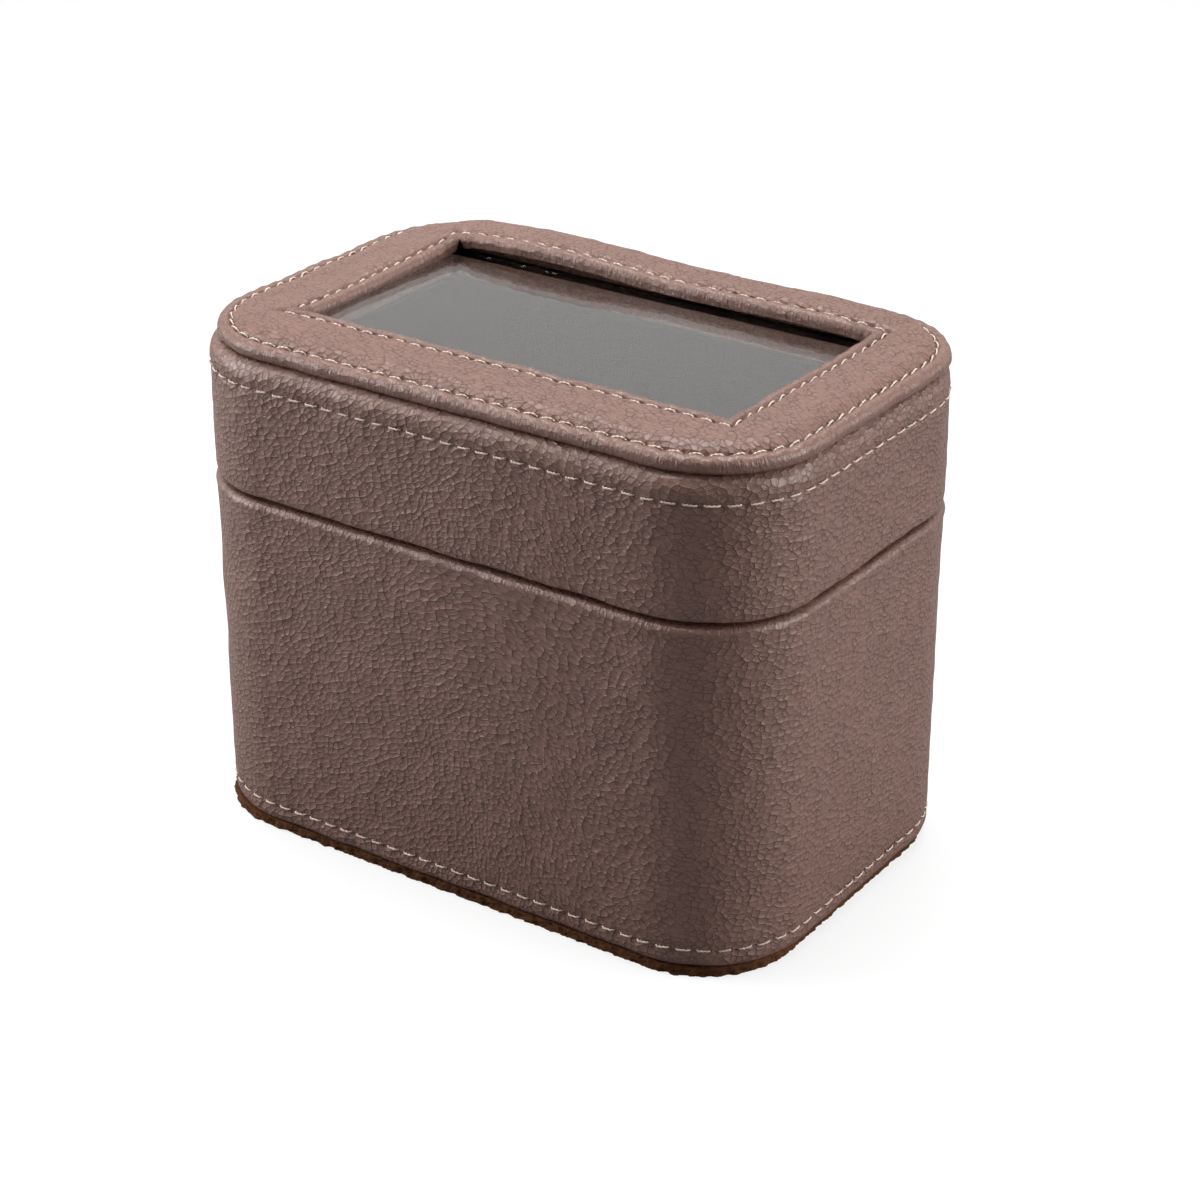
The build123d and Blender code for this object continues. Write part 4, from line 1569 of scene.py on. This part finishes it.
    def _sew_inner(self, sewing: Sewing, at: np.ndarray) -> None:
        """Lay the row beside the roll, side by side round the window."""
        half = self._row_half()
        level = self._row_level() - self.inner_press.channel + 0.5 * self.inner.thread
        places: list[np.ndarray] = []
        numbers: list[int] = []
        sides: list[int] = []
        for number, outward in enumerate(((0, -1), (1, 0), (0, 1), (-1, 0))):
            reach = abs(np.dot(outward, half))
            on_side = np.flatnonzero(np.abs(at @ np.array(outward) - reach) < self.on_row)
            way = np.array([-outward[1], outward[0]])
            ordered = on_side[np.argsort(at[on_side] @ way)]
            places.append(stand(at[ordered] + self.middle, level + self.raised[ordered]))
            numbers += [self._side_count(abs(np.dot(way, half))) + 1] * len(ordered)
            sides += [number] * len(ordered)
        line = np.concatenate(places)
        up = np.tile([0.0, 0.0, 1.0], (len(line), 1))
        name = "thread_frame_inner"
        thread = sewing.lay(name, line, up, numbers, self.inner, self.seed + 1, side=sides, closed=False)
        dress(thread, Body.LID, Slot.LEATHER)


@dataclass
class LaidSheet:
    """A sheet laid flat on a board: the suede under the base, or the lining on its floor."""

    name: str
    body: Body
    slot: Slot
    node: str
    carrier: str
    material: Material
    corner: float
    shift: Pair = (0.0, 0.0)
    edge_round: float = 0.25
    edge_step: float = 0.22
    face_insets: Pair = (6.0, 2.0)
    wander: float = 0.03
    waves: Triple = (2.6, 0.8, 1.9)
    step: float = 0.9
    seed: int = 23

    def build(self) -> Piece:
        """Make the sheet and hang it on its body."""
        high, bottom, top = room(self.node)
        self.stations = Outline.inside(high, self.corner).stations(self.step).moved(self.shift)
        edge = self.edge_round
        line = [(inset, bottom) for inset in self.face_insets]
        line += arc((edge, bottom + edge), (edge, edge), 270, 180, 4)
        line += run((0, bottom + edge), (0, top - edge), self.edge_step)
        line += arc((edge, top - edge), (edge, edge), 180, 90, 4)
        line += [(inset, top) for inset in self.face_insets[::-1]]
        section = np.array(line)
        at = self.stations.lengths(0.0)[:-1, None], section[None, :, 1]
        coarse, fine, tufts = (
            Drift(self.seed + place, wave, 9).at(*at) for place, wave in enumerate(self.waves)
        )
        ragged = coarse + 0.9 * fine + 1.2 * np.clip(tufts - 1.1, 0, 1)
        near_edge = (section[:, 0] < 1.0).astype(float)[None, :]
        inset = section[:, 0] + self.wander * ragged * near_edge
        points = self.stations.points(inset, section[:, 1])
        piece = Shapes.sheet(self.name, points, self.material, closed_section=False)
        size, columns = len(inset) * len(line), len(line)
        Shapes.outward(piece, range(0, size, columns), range(columns - 1, size, columns)[::-1])
        self.flat = (2 * high.x, 2 * high.y)
        radius = self.corner * MM
        self.area = self.flat[0] * self.flat[1] - (4 - math.pi) * radius**2
        return dress(piece, self.body, self.slot, self.node)


class RawEdge:
    """Loose fibres and crumbs on the cut edge of suede: a geometry tree that scatters them on a band."""

    density = 5.0e6
    length = 0.00055
    bend = 0.00012
    radius = 0.00003
    leans = ((-1.1, -1.1, -3.1), (1.1, 1.1, 3.1))
    sizes = ((0.6, 0.6, 0.3), (2.4, 2.0, 1.2))
    seed = 41
    band = (0.35, 0.15)
    band_inset = 0.05

    def __init__(self, material: Material) -> None:
        """Build the tree.

        Args:
            material: the suede.
        """
        self.material = material
        self.tree = self._tree()

    def _tree(self) -> Tree:
        """The tree: points on the band, each with a short bent fibre that leans its own way."""
        graph, take, sink = piece_tree(
            "raw_edge", density=self.density, fibre_length=self.length, seed=self.seed
        )
        inputs = {"Mesh": take["Geometry"], "Density": take["Density"], "Seed": take["Seed"]}
        scattered = graph.add("GeometryNodeDistributePointsOnFaces", inputs).outputs
        aim = graph.turned(scattered["Rotation"], graph.chance(*self.leans, take["Seed"]))
        size = graph.chance(*self.sizes, take["Seed"])
        end = graph.add("ShaderNodeCombineXYZ", {0: self.bend, 2: take["Fibre Length"]}).outputs[0]
        fibre = graph.tube(graph.stretch(3, End=end), graph.ring(3, self.radius))
        where = scattered["Points"]
        graph.lay(take, sink, False, Points=where, Instance=fibre, Rotation=aim, Scale=size)
        return graph.tree

    def scatter(self, sheet: LaidSheet) -> Piece:
        """Make the fibres of one sheet.

        Args:
            sheet: the sheet, already built.

        Returns:
            The fibres, dressed.
        """
        _, bottom, top = room(sheet.node)
        heights = np.linspace(bottom + self.band[0], top - self.band[1], 3)
        inset = np.full((len(sheet.stations.place), len(heights)), self.band_inset)
        points = sheet.stations.points(inset, heights)
        band = Shapes.sheet(sheet.name + "_fibres", points, closed_section=False)
        sizes = {"density": self.density, "fibre_length": self.length}
        fibres = Shapes.run_tree(band, self.tree, seed=self.seed, material=self.material, **sizes)
        return dress(fibres, sheet.body, sheet.slot)


@dataclass
class WallLining:
    """Napped lining glued round the inside of one half."""

    name: str
    body: Body
    node: str
    carrier: str
    corner: float = 16.3
    thickness: float = 0.8
    glued: float = 0.02
    edge: float = 0.25
    step: float = 1.2
    nap: float = 0.05
    waves: Pair = (14.0, 5.0)
    seed: int = 31

    def build(self, finishes: Finishes) -> None:
        """Make the lining.

        Args:
            finishes: the materials.
        """
        high, bottom, top = room(self.node)
        stations = Outline.inside(high, self.corner).stations(self.step)
        edge, face = self.edge, self.thickness
        line = [(self.glued, bottom), (face - edge, bottom)]
        line += arc((face - edge, bottom + edge), (edge, edge), 270, 360, 4)[1:]
        line += run((face, bottom + edge), (face, top - edge), 1.5)
        line += arc((face - edge, top - edge), (edge, edge), 0, 90, 4)
        line += [(self.glued, top)]
        section = np.array(line[::-1])
        at = stations.lengths(0.0)[:-1, None], section[None, :, 1]
        broad, fine = (Drift(self.seed, wave).at(*at) for wave in self.waves)
        wave = broad + 0.4 * fine
        inset = section[None, :, 0] + self.nap * wave * (section[None, :, 0] > face / 2)
        points = stations.points(inset, section[:, 1])
        piece = Shapes.sheet(self.name, points, finishes.lining)
        dress(piece, self.body, Slot.LINING, self.node)
        around = stations.lengths(face / 2)[-1] * MM


@dataclass
class CeilingLining:
    """Napped lining glued under the lid's top board, with the opening under the window."""

    corner: float = 16.3
    opening: Pair = (44.2, 23.2)
    step: float = 0.9
    columns: int = 12
    nap: float = 0.05
    wave: float = 15.0
    seed: int = 37

    def build(self, finishes: Finishes) -> None:
        """Make the lining.

        Args:
            finishes: the materials.
        """
        high, bottom, top = room("lid_ceiling_lining")
        stations = Outline.inside(high, self.corner).stations(self.step)
        reach, _ = stations.reach(self.opening)
        share = np.linspace(0, 1, self.columns)
        under = reach[:, None] * share[None, :]
        inset = np.concatenate([under, under[:, ::-1]], 1)
        u = stations.lengths(0.0)[:-1, None]
        wave = Drift(self.seed, self.wave).at(u, under) * np.sin(math.pi * share)[None, :]
        height = np.concatenate([bottom - self.nap * wave, np.full_like(under, top)], 1)
        points = stations.points(inset, height)[:, ::-1]
        piece = Shapes.sheet("ceiling_lining", points, finishes.lining)
        dress(piece, Body.LID, Slot.LINING, "lid_ceiling_lining")


@dataclass
class DividerCover:
    """Suede folded over the divider board."""

    skin: float = 0.6
    fold: float = 0.75
    step: float = 1.6
    rows: int = 50
    nap: float = 0.06
    wave: float = 12.0
    seed: int = 43

    def build(self, finishes: Finishes) -> None:
        """Make the cover.

        Args:
            finishes: the materials.
        """
        low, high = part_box("divider_suede")
        half, bottom, top = high.x / MM, low.z / MM, high.z / MM
        outer = [(half, bottom)] + run((half, bottom), (half, top - self.fold), self.step)
        outer += arc((half - self.fold, top - self.fold), (self.fold, self.fold), 0, 90, 6)
        outer += [(-x, z) for x, z in reversed(outer)]
        inner = half - self.skin + 0.01
        under = top - self.skin
        outer += [(-inner, bottom), (-inner, under), (inner, under), (inner, bottom)]
        section = np.array(outer)[None, :, :]
        along = np.linspace(low.y / MM, high.y / MM, self.rows)[:, None]
        lean = Drift(self.seed, self.wave).at(along, section[..., 1])
        x = section[..., 0] * (1 + self.nap * lean * (np.abs(section[..., 0]) > inner + 0.1) * 0.4)
        points = np.stack(np.broadcast_arrays(x, along, section[..., 1]), -1)
        piece = Shapes.outward(Shapes.sheet("divider_cover", points, finishes.lining, closed_rows=False))
        dress(piece, Body.BASE, Slot.LINING, "divider_suede")


@dataclass
class Pillow:
    """A watch pillow: foam in a sewn suede cover, swollen by simulation, with a seam round each end."""

    side: str
    seed: int
    edge: float = 15.0
    end: float = 5.0
    slack: float = 1.2
    swell_cap: float = 1.6
    sim_scale: float = 10.0
    voxel: float = 1.7
    pressure: float = 4.0
    frames: int = 20
    seam_depth: float = 0.7
    seam_offset: float = 0.6
    seam_width: float = 0.9
    pucker: Pair = (0.14, 4.0)
    softness: float = 0.25
    ease: float = 0.25
    crown: float = 0.8
    girth: float = 24.0
    margin: float = 0.02
    step: float = 1.9
    rows: int = 26

    def build(self, finishes: Finishes) -> None:
        """Make the pillow.

        Args:
            finishes: the materials.
        """
        cover = f"pillow_{self.side}_cover"
        low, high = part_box(cover)
        self.low, self.high = np.array(low) / MM, np.array(high) / MM
        piece = self._form(f"pillow_{self.side}")
        self._swell(piece)
        self._sew(piece)
        piece.data.materials.append(finishes.pillow)
        body = Body.PILLOW_LEFT if self.side == "left" else Body.PILLOW_RIGHT
        dress(piece, body, Slot.PILLOW, cover, f"pillow_{self.side}_core")

    def _form(self, name: str) -> Piece:
        """The pillow before it swells: a rounded block, crowned a little on every side."""
        half = (self.high - self.low) / 2 - self.slack
        middle = (self.high + self.low) / 2
        ring = Outline(half[1], half[2], self.edge).stations(self.step)
        turn = np.linspace(-math.pi / 2, math.pi / 2, self.rows)
        first, last = np.split(turn, 2)
        flat = np.linspace(-half[0] + self.end, half[0] - self.end, self.rows // 2)[1:-1]
        left = -half[0] + self.end * (1 + np.sin(first))
        x = np.concatenate([left, flat, half[0] - self.end * (1 - np.sin(last))])
        level = np.full(len(flat), self.end)
        draw = np.concatenate([self.end * np.cos(first), level, self.end * np.cos(last)])
        inset = (self.end - draw) + self.crown * (x / half[0]) ** 2
        section = ring.place[None, :, :] - ring.outward[None, :, :] * inset[:, None, None]
        points = np.concatenate([np.broadcast_to(x[:, None, None], (*section.shape[:2], 1)), section], -1)
        return Shapes.outward(Shapes.sheet(name, points + middle, closed_rows=False))

    def _swell(self, piece: Piece) -> None:
        """Blow the cover up from inside with a cloth simulation, at a larger scale, and cap the movement."""
        scale = self.sim_scale
        rest_middle = Vector(((self.high + self.low) / 2 * MM).tolist())
        piece.data.transform(Matrix.Translation(-rest_middle))
        piece.data.transform(Matrix.Scale(scale, 4))
        remesh = piece.modifiers.new("remesh", "REMESH")
        remesh.mode = "VOXEL"
        remesh.voxel_size = self.voxel * MM * scale
        Shapes.finish_nodes(piece)
        start = Shapes.corners(piece)
        cloth = piece.modifiers.new("swell", "CLOTH")
        cloth.settings.use_pressure = True
        cloth.settings.uniform_pressure_force = self.pressure
        cloth.settings.effector_weights.gravity = 0.0
        cloth.settings.quality = 5
        cloth.point_cache.frame_start = 1
        cloth.point_cache.frame_end = self.frames
        scene = bpy.context.scene
        for number in range(1, self.frames + 1):
            scene.frame_set(number)
        Shapes.finish_nodes(piece)
        scene.frame_set(1)
        move = Shapes.corners(piece) - start
        far = np.linalg.norm(move, axis=1, keepdims=True)
        cap = self.swell_cap * MM * scale
        end = start + move * np.minimum(1.0, cap / np.maximum(far, 1e-9))
        log.info("pillow %s swelled by up to %.2f mm", self.side, far.max() / scale / MM)
        Shapes.move(piece, end / scale + np.array(rest_middle))
        smooth = piece.modifiers.new("smooth", "SUBSURF")
        smooth.levels = smooth.render_levels = 1
        Shapes.finish_nodes(piece)

    def _sew(self, piece: Piece) -> None:
        """Draw in the seams at both ends with their puckers, and keep the pillow in its own space."""
        places = Shapes.corners(piece) / MM
        middle = (self.high + self.low) / 2
        half = (self.high - self.low) / 2
        away = places - middle
        from_seam = np.abs(away[:, 0]) - (half[0] - self.end + self.seam_offset)
        around = np.arctan2(away[:, 2], away[:, 1]) * self.girth
        pucker = Drift(self.seed, 3.2, 9).at(around, places[:, 0] * 0.25)
        soft = Drift(self.seed + 1, 16.0).at(around, places[:, 0])
        depth, reach = self.pucker
        draw = self.seam_depth * bell(from_seam, self.seam_width) + depth * pucker * bell(from_seam, reach)
        draw = draw + self.softness * soft
        ray = away[:, 1:] / np.linalg.norm(away[:, 1:], axis=1, keepdims=True)
        places[:, 1:] -= ray * (draw + self.ease)[:, None]
        places = np.clip(places, self.low + self.margin, self.high - self.margin)
        Shapes.move(piece, places * MM)
        Shapes.smooth(piece)


@dataclass
class Glue:
    """Beads of clear glue that squeezed out between the roll and the glass."""

    back: tuple[Pair, ...] = (
        (-36.2, 0.34), (-28.4, 0.3), (-23.1, 0.24), (-21.4, 0.3), (-6.0, 0.2),
    )
    left: Pair = (-21.0, 21.0)
    left_count: int = 34
    window: Pair = (43.7, 22.7)
    middle: Pair = (0.8, 0.9)
    out: Pair = (1.0, 0.1)
    scatter: float = 0.25
    left_size: Pair = (0.06, 0.13)
    left_length: Pair = (1.5, 5.0)
    back_length: float = 1.6
    height: float = 0.8
    seed: int = 53

    def build(self, finishes: Finishes) -> None:
        """Make the beads.

        Args:
            finishes: the materials.
        """
        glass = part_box("window_pane")[1].z / MM
        draw = np.random.default_rng(self.seed)
        edge_y = self.window[1] + self.middle[1]
        edge_x = -self.window[0] + self.middle[0]
        places = [(x, edge_y + self.out[1], glass) for x, _ in self.back]
        sizes = [(size * self.back_length, size, size * self.height) for _, size in self.back]
        for y in draw.uniform(*self.left, self.left_count):
            places.append((edge_x + self.out[0] - draw.uniform(0, self.scatter), y, glass))
            size = draw.uniform(*self.left_size)
            sizes.append((size, size * draw.uniform(*self.left_length), size * self.height))
        size = (np.array(sizes) * MM).astype(np.float32)
        beads = Shapes.points("window_glue", np.array(places), size=size)
        Shapes.run_tree(beads, self._tree(), material=finishes.glue)
        dress(beads, Body.LID, Slot.GLASS)

    @staticmethod
    def _tree() -> Tree:
        """The tree: one small ball on each point, as large as the point says."""
        graph, take, sink = piece_tree("glue_beads")
        seats = graph.add("GeometryNodeMeshToPoints", {0: take["Geometry"]}).outputs[0]
        size = graph.attribute("size", "FLOAT_VECTOR")
        ball = graph.add("GeometryNodeMeshIcoSphere", {"Radius": 1.0, "Subdivisions": 2}).outputs[0]
        graph.lay(take, sink, True, Points=seats, Instance=ball, Scale=size)
        return graph.tree


@dataclass
class Screws:
    """The countersunk screws of one half's hinge leaves, each with a cross slot."""

    name: str
    body: Body
    node: str
    up: float
    head: float = 1.0
    shank: float = 0.45
    head_height: float = 0.5
    slot_width: float = 0.26
    slot_length: float = 1.25
    slot_depth: float = 0.3
    tip: float = 0.02
    seed: int = 61

    def build(self, finishes: Finishes) -> None:
        """Make the screws.

        Args:
            finishes: the materials.
        """
        low, high = (np.array(corner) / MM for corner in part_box(self.node))
        top = high[2] if self.up > 0 else low[2]
        length = high[2] - low[2]
        leaf_low, leaf_high = (np.array(corner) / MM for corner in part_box("hinge_base_leaf_right"))
        leaf_middle = (leaf_low[0] + leaf_high[0]) / 2
        reach = high[0] - self.head - leaf_middle
        row = [side * leaf_middle + step * reach for side in (-1, 1) for step in (-1, 1)]
        places = np.array([(x, (low[1] + high[1]) / 2, top) for x in row])
        turn = np.random.default_rng(self.seed).uniform(0, math.pi / 2, len(row))
        flip = 0.0 if self.up > 0 else math.pi
        turns = np.stack([np.full(len(row), flip), np.zeros(len(row)), turn], -1).astype(np.float32)
        seats = Shapes.points(self.name, places, turn=turns)
        Shapes.run_tree(seats, self._tree(length), material=finishes.screw)
        dress(seats, self.body, Slot.SCREW, self.node)

    def _tree(self, length: float) -> Tree:
        """The tree: one screw on each point, with its slot cut out of its head."""
        graph, take, sink = piece_tree(self.name)
        head = self._cone(graph, self.head, self.shank, 0.0, self.head_height)
        shank = self._cone(graph, self.shank, self.shank, self.head_height, length - self.head)
        point = self._cone(graph, self.shank, self.tip, length - self.head, length)
        cut = graph.add("GeometryNodeMeshBoolean", {"Mesh 1": head}, operation="DIFFERENCE")
        sides = (self.slot_length, self.slot_width)
        for way in (sides, sides[::-1]):
            size = tuple(side * MM for side in (*way, 2 * self.slot_depth))
            graph.join(cut, Mesh_2=graph.add("GeometryNodeMeshCube", {"Size": size}).outputs[0])
        whole = graph.add("GeometryNodeJoinGeometry")
        for part in (cut.outputs[0], shank, point):
            graph.join(whole, Geometry=part)
        turn = graph.add("FunctionNodeEulerToRotation", {0: graph.attribute("turn", "FLOAT_VECTOR")})
        seats = graph.add("GeometryNodeMeshToPoints", {0: take["Geometry"]}).outputs[0]
        how = {"Points": seats, "Instance": whole.outputs[0], "Rotation": turn.outputs[0]}
        graph.lay(take, sink, False, **how)
        return graph.tree

    @staticmethod
    def _cone(graph: Graph, wide: float, narrow: float, start: float, end: float) -> Socket:
        """A length of the screw that hangs down from start to end, all in millimetres."""
        inputs = {
            "Vertices": 20,
            "Radius Top": wide * MM,
            "Radius Bottom": narrow * MM,
            "Depth": (end - start) * MM,
        }
        cone = graph.add("GeometryNodeMeshCone", inputs).outputs[0]
        drop = {0: cone, "Translation": (0.0, 0.0, -end * MM)}
        return graph.add("GeometryNodeTransform", drop).outputs[0]


class Fittings:
    """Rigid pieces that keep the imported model's shape and only take a finish."""

    def __init__(self, finishes: Finishes) -> None:
        """Pair each node with its material.

        Args:
            finishes: the materials.
        """
        self.materials = {
            "base_floor_board": finishes.board,
            "base_wall_board": finishes.board,
            "divider_board": finishes.board,
            "lid_wall_board": finishes.board,
            "lid_top_board": finishes.top_board,
            "base_magnets": finishes.magnet,
            "lid_magnets": finishes.magnet,
            "window_pane": finishes.glass,
            "frame_card": finishes.card,
            "hinge_base_leaf_left": finishes.hinge,
            "hinge_base_leaf_right": finishes.hinge,
            "hinge_lid_leaf_left": finishes.hinge,
            "hinge_lid_leaf_right": finishes.hinge,
            "hinge_pin_left": finishes.screw,
            "hinge_pin_right": finishes.screw,
        }

    def build(self) -> None:
        """Give every node its material."""
        for name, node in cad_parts.items():
            if name in self.materials:
                node.data.materials.clear()
                node.data.materials.append(self.materials[name])
        log.info("%d nodes of the packed model dressed", len(self.materials))


@dataclass(frozen=True)
class Lamp:
    """A square soft lamp: where it hangs and what it faces, in metres, its side and its power in watts."""

    name: str
    place: Triple
    target: Triple
    size: float
    level: float

    def hang(self) -> None:
        """Add the lamp to the scene."""
        data = bpy.data.lights.new(self.name, "AREA")
        data.shape = "SQUARE"
        data.size = self.size
        data.energy = self.level
        lamp = add_object(self.name, data)
        way = Vector(self.target) - Vector(self.place)
        turned = way.to_track_quat("-Z", "Y").to_matrix().to_4x4()
        lamp.matrix_world = Matrix.Translation(self.place) @ turned


@dataclass
class Studio:
    """Floor, lamps, world and camera."""

    azimuth: float = 34.59
    elevation: float = 26.05
    distance: float = 510.61
    lens: float = 85.25
    sensor: float = 36.0
    aim: Pair = (4.23, -5.22)
    aim_height: float = 48.0
    floor_size: float = 4.0
    floor_tone: float = 0.3
    floor_glow: float = 0.76
    ambient: float = 0.05
    mirrored: float = 0.78
    dim: float = 0.3
    lamps: tuple[Lamp, ...] = (
        Lamp("lamp_top", (-0.1, 0.1, 0.85), (0.0, 0.0, 0.08), 0.6, 7.5),
        Lamp("lamp_right", (0.9, 0.34, 0.3), (0.05, 0.0, 0.05), 0.8, 10.0),
        Lamp("lamp_left", (-0.46, -0.26, 0.22), (-0.05, 0.0, 0.05), 0.34, 2.2),
        Lamp("lamp_key", (-0.5, -0.3, 0.66), (0.0, 0.0, 0.07), 0.16, 0.9),
    )

    def build(self) -> None:
        """Set the scene up."""
        scene = bpy.context.scene
        scene.view_settings.view_transform = "Standard"
        self._floor()
        self._world(scene)
        for lamp in self.lamps:
            lamp.hang()
        self._camera(scene)

    def _camera(self, scene: bpy.types.Scene) -> None:
        """Stand the camera where the photograph was taken from."""
        turn = math.radians(self.azimuth)
        rise = math.radians(self.elevation)
        back = Vector((math.sin(turn) * math.cos(rise), -math.cos(turn) * math.cos(rise), math.sin(rise)))
        right = (-back).cross(Vector((0, 0, 1))).normalized()
        up = right.cross(-back)
        aim = Vector((0, 0, self.aim_height)) + right * self.aim[0] + up * self.aim[1]
        place = aim + back * self.distance
        data = bpy.data.cameras.new("camera")
        data.lens = self.lens
        data.sensor_width = self.sensor
        camera = add_object("camera", data)
        turned = Matrix((right, up, back)).transposed().to_4x4()
        camera.matrix_world = Matrix.Translation(place * MM) @ turned
        scene.camera = camera

    def _floor(self) -> None:
        """Lay a pale floor that keeps the box's shadow."""
        half = self.floor_size / 2
        mesh = bpy.data.meshes.new("studio_floor")
        corners = [(-half, -half, 0), (half, -half, 0), (half, half, 0), (-half, half, 0)]
        mesh.from_pydata(corners, [], [(0, 1, 2, 3)])
        floor = add_object("studio_floor", mesh)
        material = bpy.data.materials.new("studio_paper")
        material.use_nodes = True
        material.node_tree.nodes.clear()
        graph = Graph(material.node_tree)
        grey = (self.floor_tone, self.floor_tone, self.floor_tone, 1.0)
        paper = graph.add("ShaderNodeBsdfDiffuse", {"Color": grey})
        shaded = graph.add("ShaderNodeBsdfDiffuse", {"Color": grey})
        glow = graph.add("ShaderNodeEmission", {"Color": (1, 1, 1, 1), "Strength": self.floor_glow})
        both = graph.add("ShaderNodeAddShader", {0: shaded.outputs[0], 1: glow.outputs[0]})
        seen = graph.add("ShaderNodeLightPath").outputs["Is Camera Ray"]
        pick = graph.add("ShaderNodeMixShader", {0: seen, 1: paper.outputs[0], 2: both.outputs[0]})
        graph.add("ShaderNodeOutputMaterial", {"Surface": pick.outputs[0]})
        mesh.materials.append(material)

    def _world(self, scene: bpy.types.Scene) -> None:
        """A white surround to look at, which is dimmer where it lights the box from the camera's side."""
        world = bpy.data.worlds.new("studio_surround")
        world.use_nodes = True
        world.node_tree.nodes.clear()
        scene.world = world
        graph = Graph(world.node_tree)
        path = graph.add("ShaderNodeLightPath").outputs
        way = graph.vector("NORMALIZE", graph.add("ShaderNodeTexCoord").outputs["Object"])
        turn = math.radians(self.azimuth)
        toward = graph.vector("DOT_PRODUCT", way, (math.sin(turn), -math.cos(turn), 0.0))
        side = graph.ramp(toward, -0.1, 0.8, 1.0, self.dim)
        lit = graph.math("MULTIPLY", graph.between(path["Is Glossy Ray"], self.ambient, self.mirrored), side)
        shown = graph.math("MAXIMUM", path["Is Camera Ray"], path["Is Transmission Ray"])
        strength = graph.between(shown, lit, 1.0)
        tint = graph.blend(shown, (1.0, 0.945, 0.925, 1), (1, 1, 1, 1))
        surround = graph.add("ShaderNodeBackground", {"Color": tint, "Strength": strength})
        graph.add("ShaderNodeOutputWorld", {"Surface": surround.outputs[0]})


def build_sheets(finishes: Finishes) -> None:
    """Make the suede under the base and the four linings.

    Args:
        finishes: the materials.
    """
    under = LaidSheet(
        "bottom_suede", Body.BASE, Slot.SUEDE, "bottom_suede_sheet", "base_leather_wrap", finishes.sheet,
        corner=18.0, shift=(-0.45, -0.5), wander=0.14, step=0.3,
    )
    piece = under.build()
    RawEdge(finishes.sheet).scatter(under)
    floor = LaidSheet(
        "floor_lining", Body.BASE, Slot.LINING, "base_floor_lining", "base_floor_board", finishes.lining,
        corner=16.3,
    )
    floor.build()
    WallLining("wall_lining_base", Body.BASE, "base_wall_lining", "base_wall_board").build(finishes)
    WallLining("wall_lining_lid", Body.LID, "lid_wall_lining", "lid_wall_board").build(finishes)
    CeilingLining().build(finishes)


def main() -> None:
    """Build every sub-assembly in order."""
    logging.basicConfig(level=logging.INFO, format="%(message)s")
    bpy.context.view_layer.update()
    finishes = Finishes()
    Fittings(finishes).build()
    Studio().build()
    sewing = Sewing(finishes)
    hinges = HingePlaces.measure()
    base = WallLeather(
        "base_leather", Body.BASE, "base_leather_wrap", "thread_base_wall", row_height=5.37,
        rim_is_top=True, free_roll=(1.6, 1.6), rim_roll=1.6, seed=3, rim_out=0.28,
    )
    base.build(finishes, sewing, hinges)
    lid = WallLeather(
        "lid_leather", Body.LID, "lid_leather_wrap", "thread_lid_wall", row_height=87.06,
        rim_is_top=False, free_roll=(2.5, 3.0), rim_roll=0.8, seed=7, rim_out=-0.25,
    )
    lid.build(finishes, sewing, hinges)
    PaddedFrame().build(finishes, sewing)
    Glue().build(finishes)
    build_sheets(finishes)
    DividerCover().build(finishes)
    Pillow("left", 71).build(finishes)
    Pillow("right", 83).build(finishes)
    Screws("screws_base", Body.BASE, "hinge_base_screws", 1.0).build(finishes)
    Screws("screws_lid", Body.LID, "hinge_lid_screws", -1.0).build(finishes)


if __name__ == "__main__":
    main()
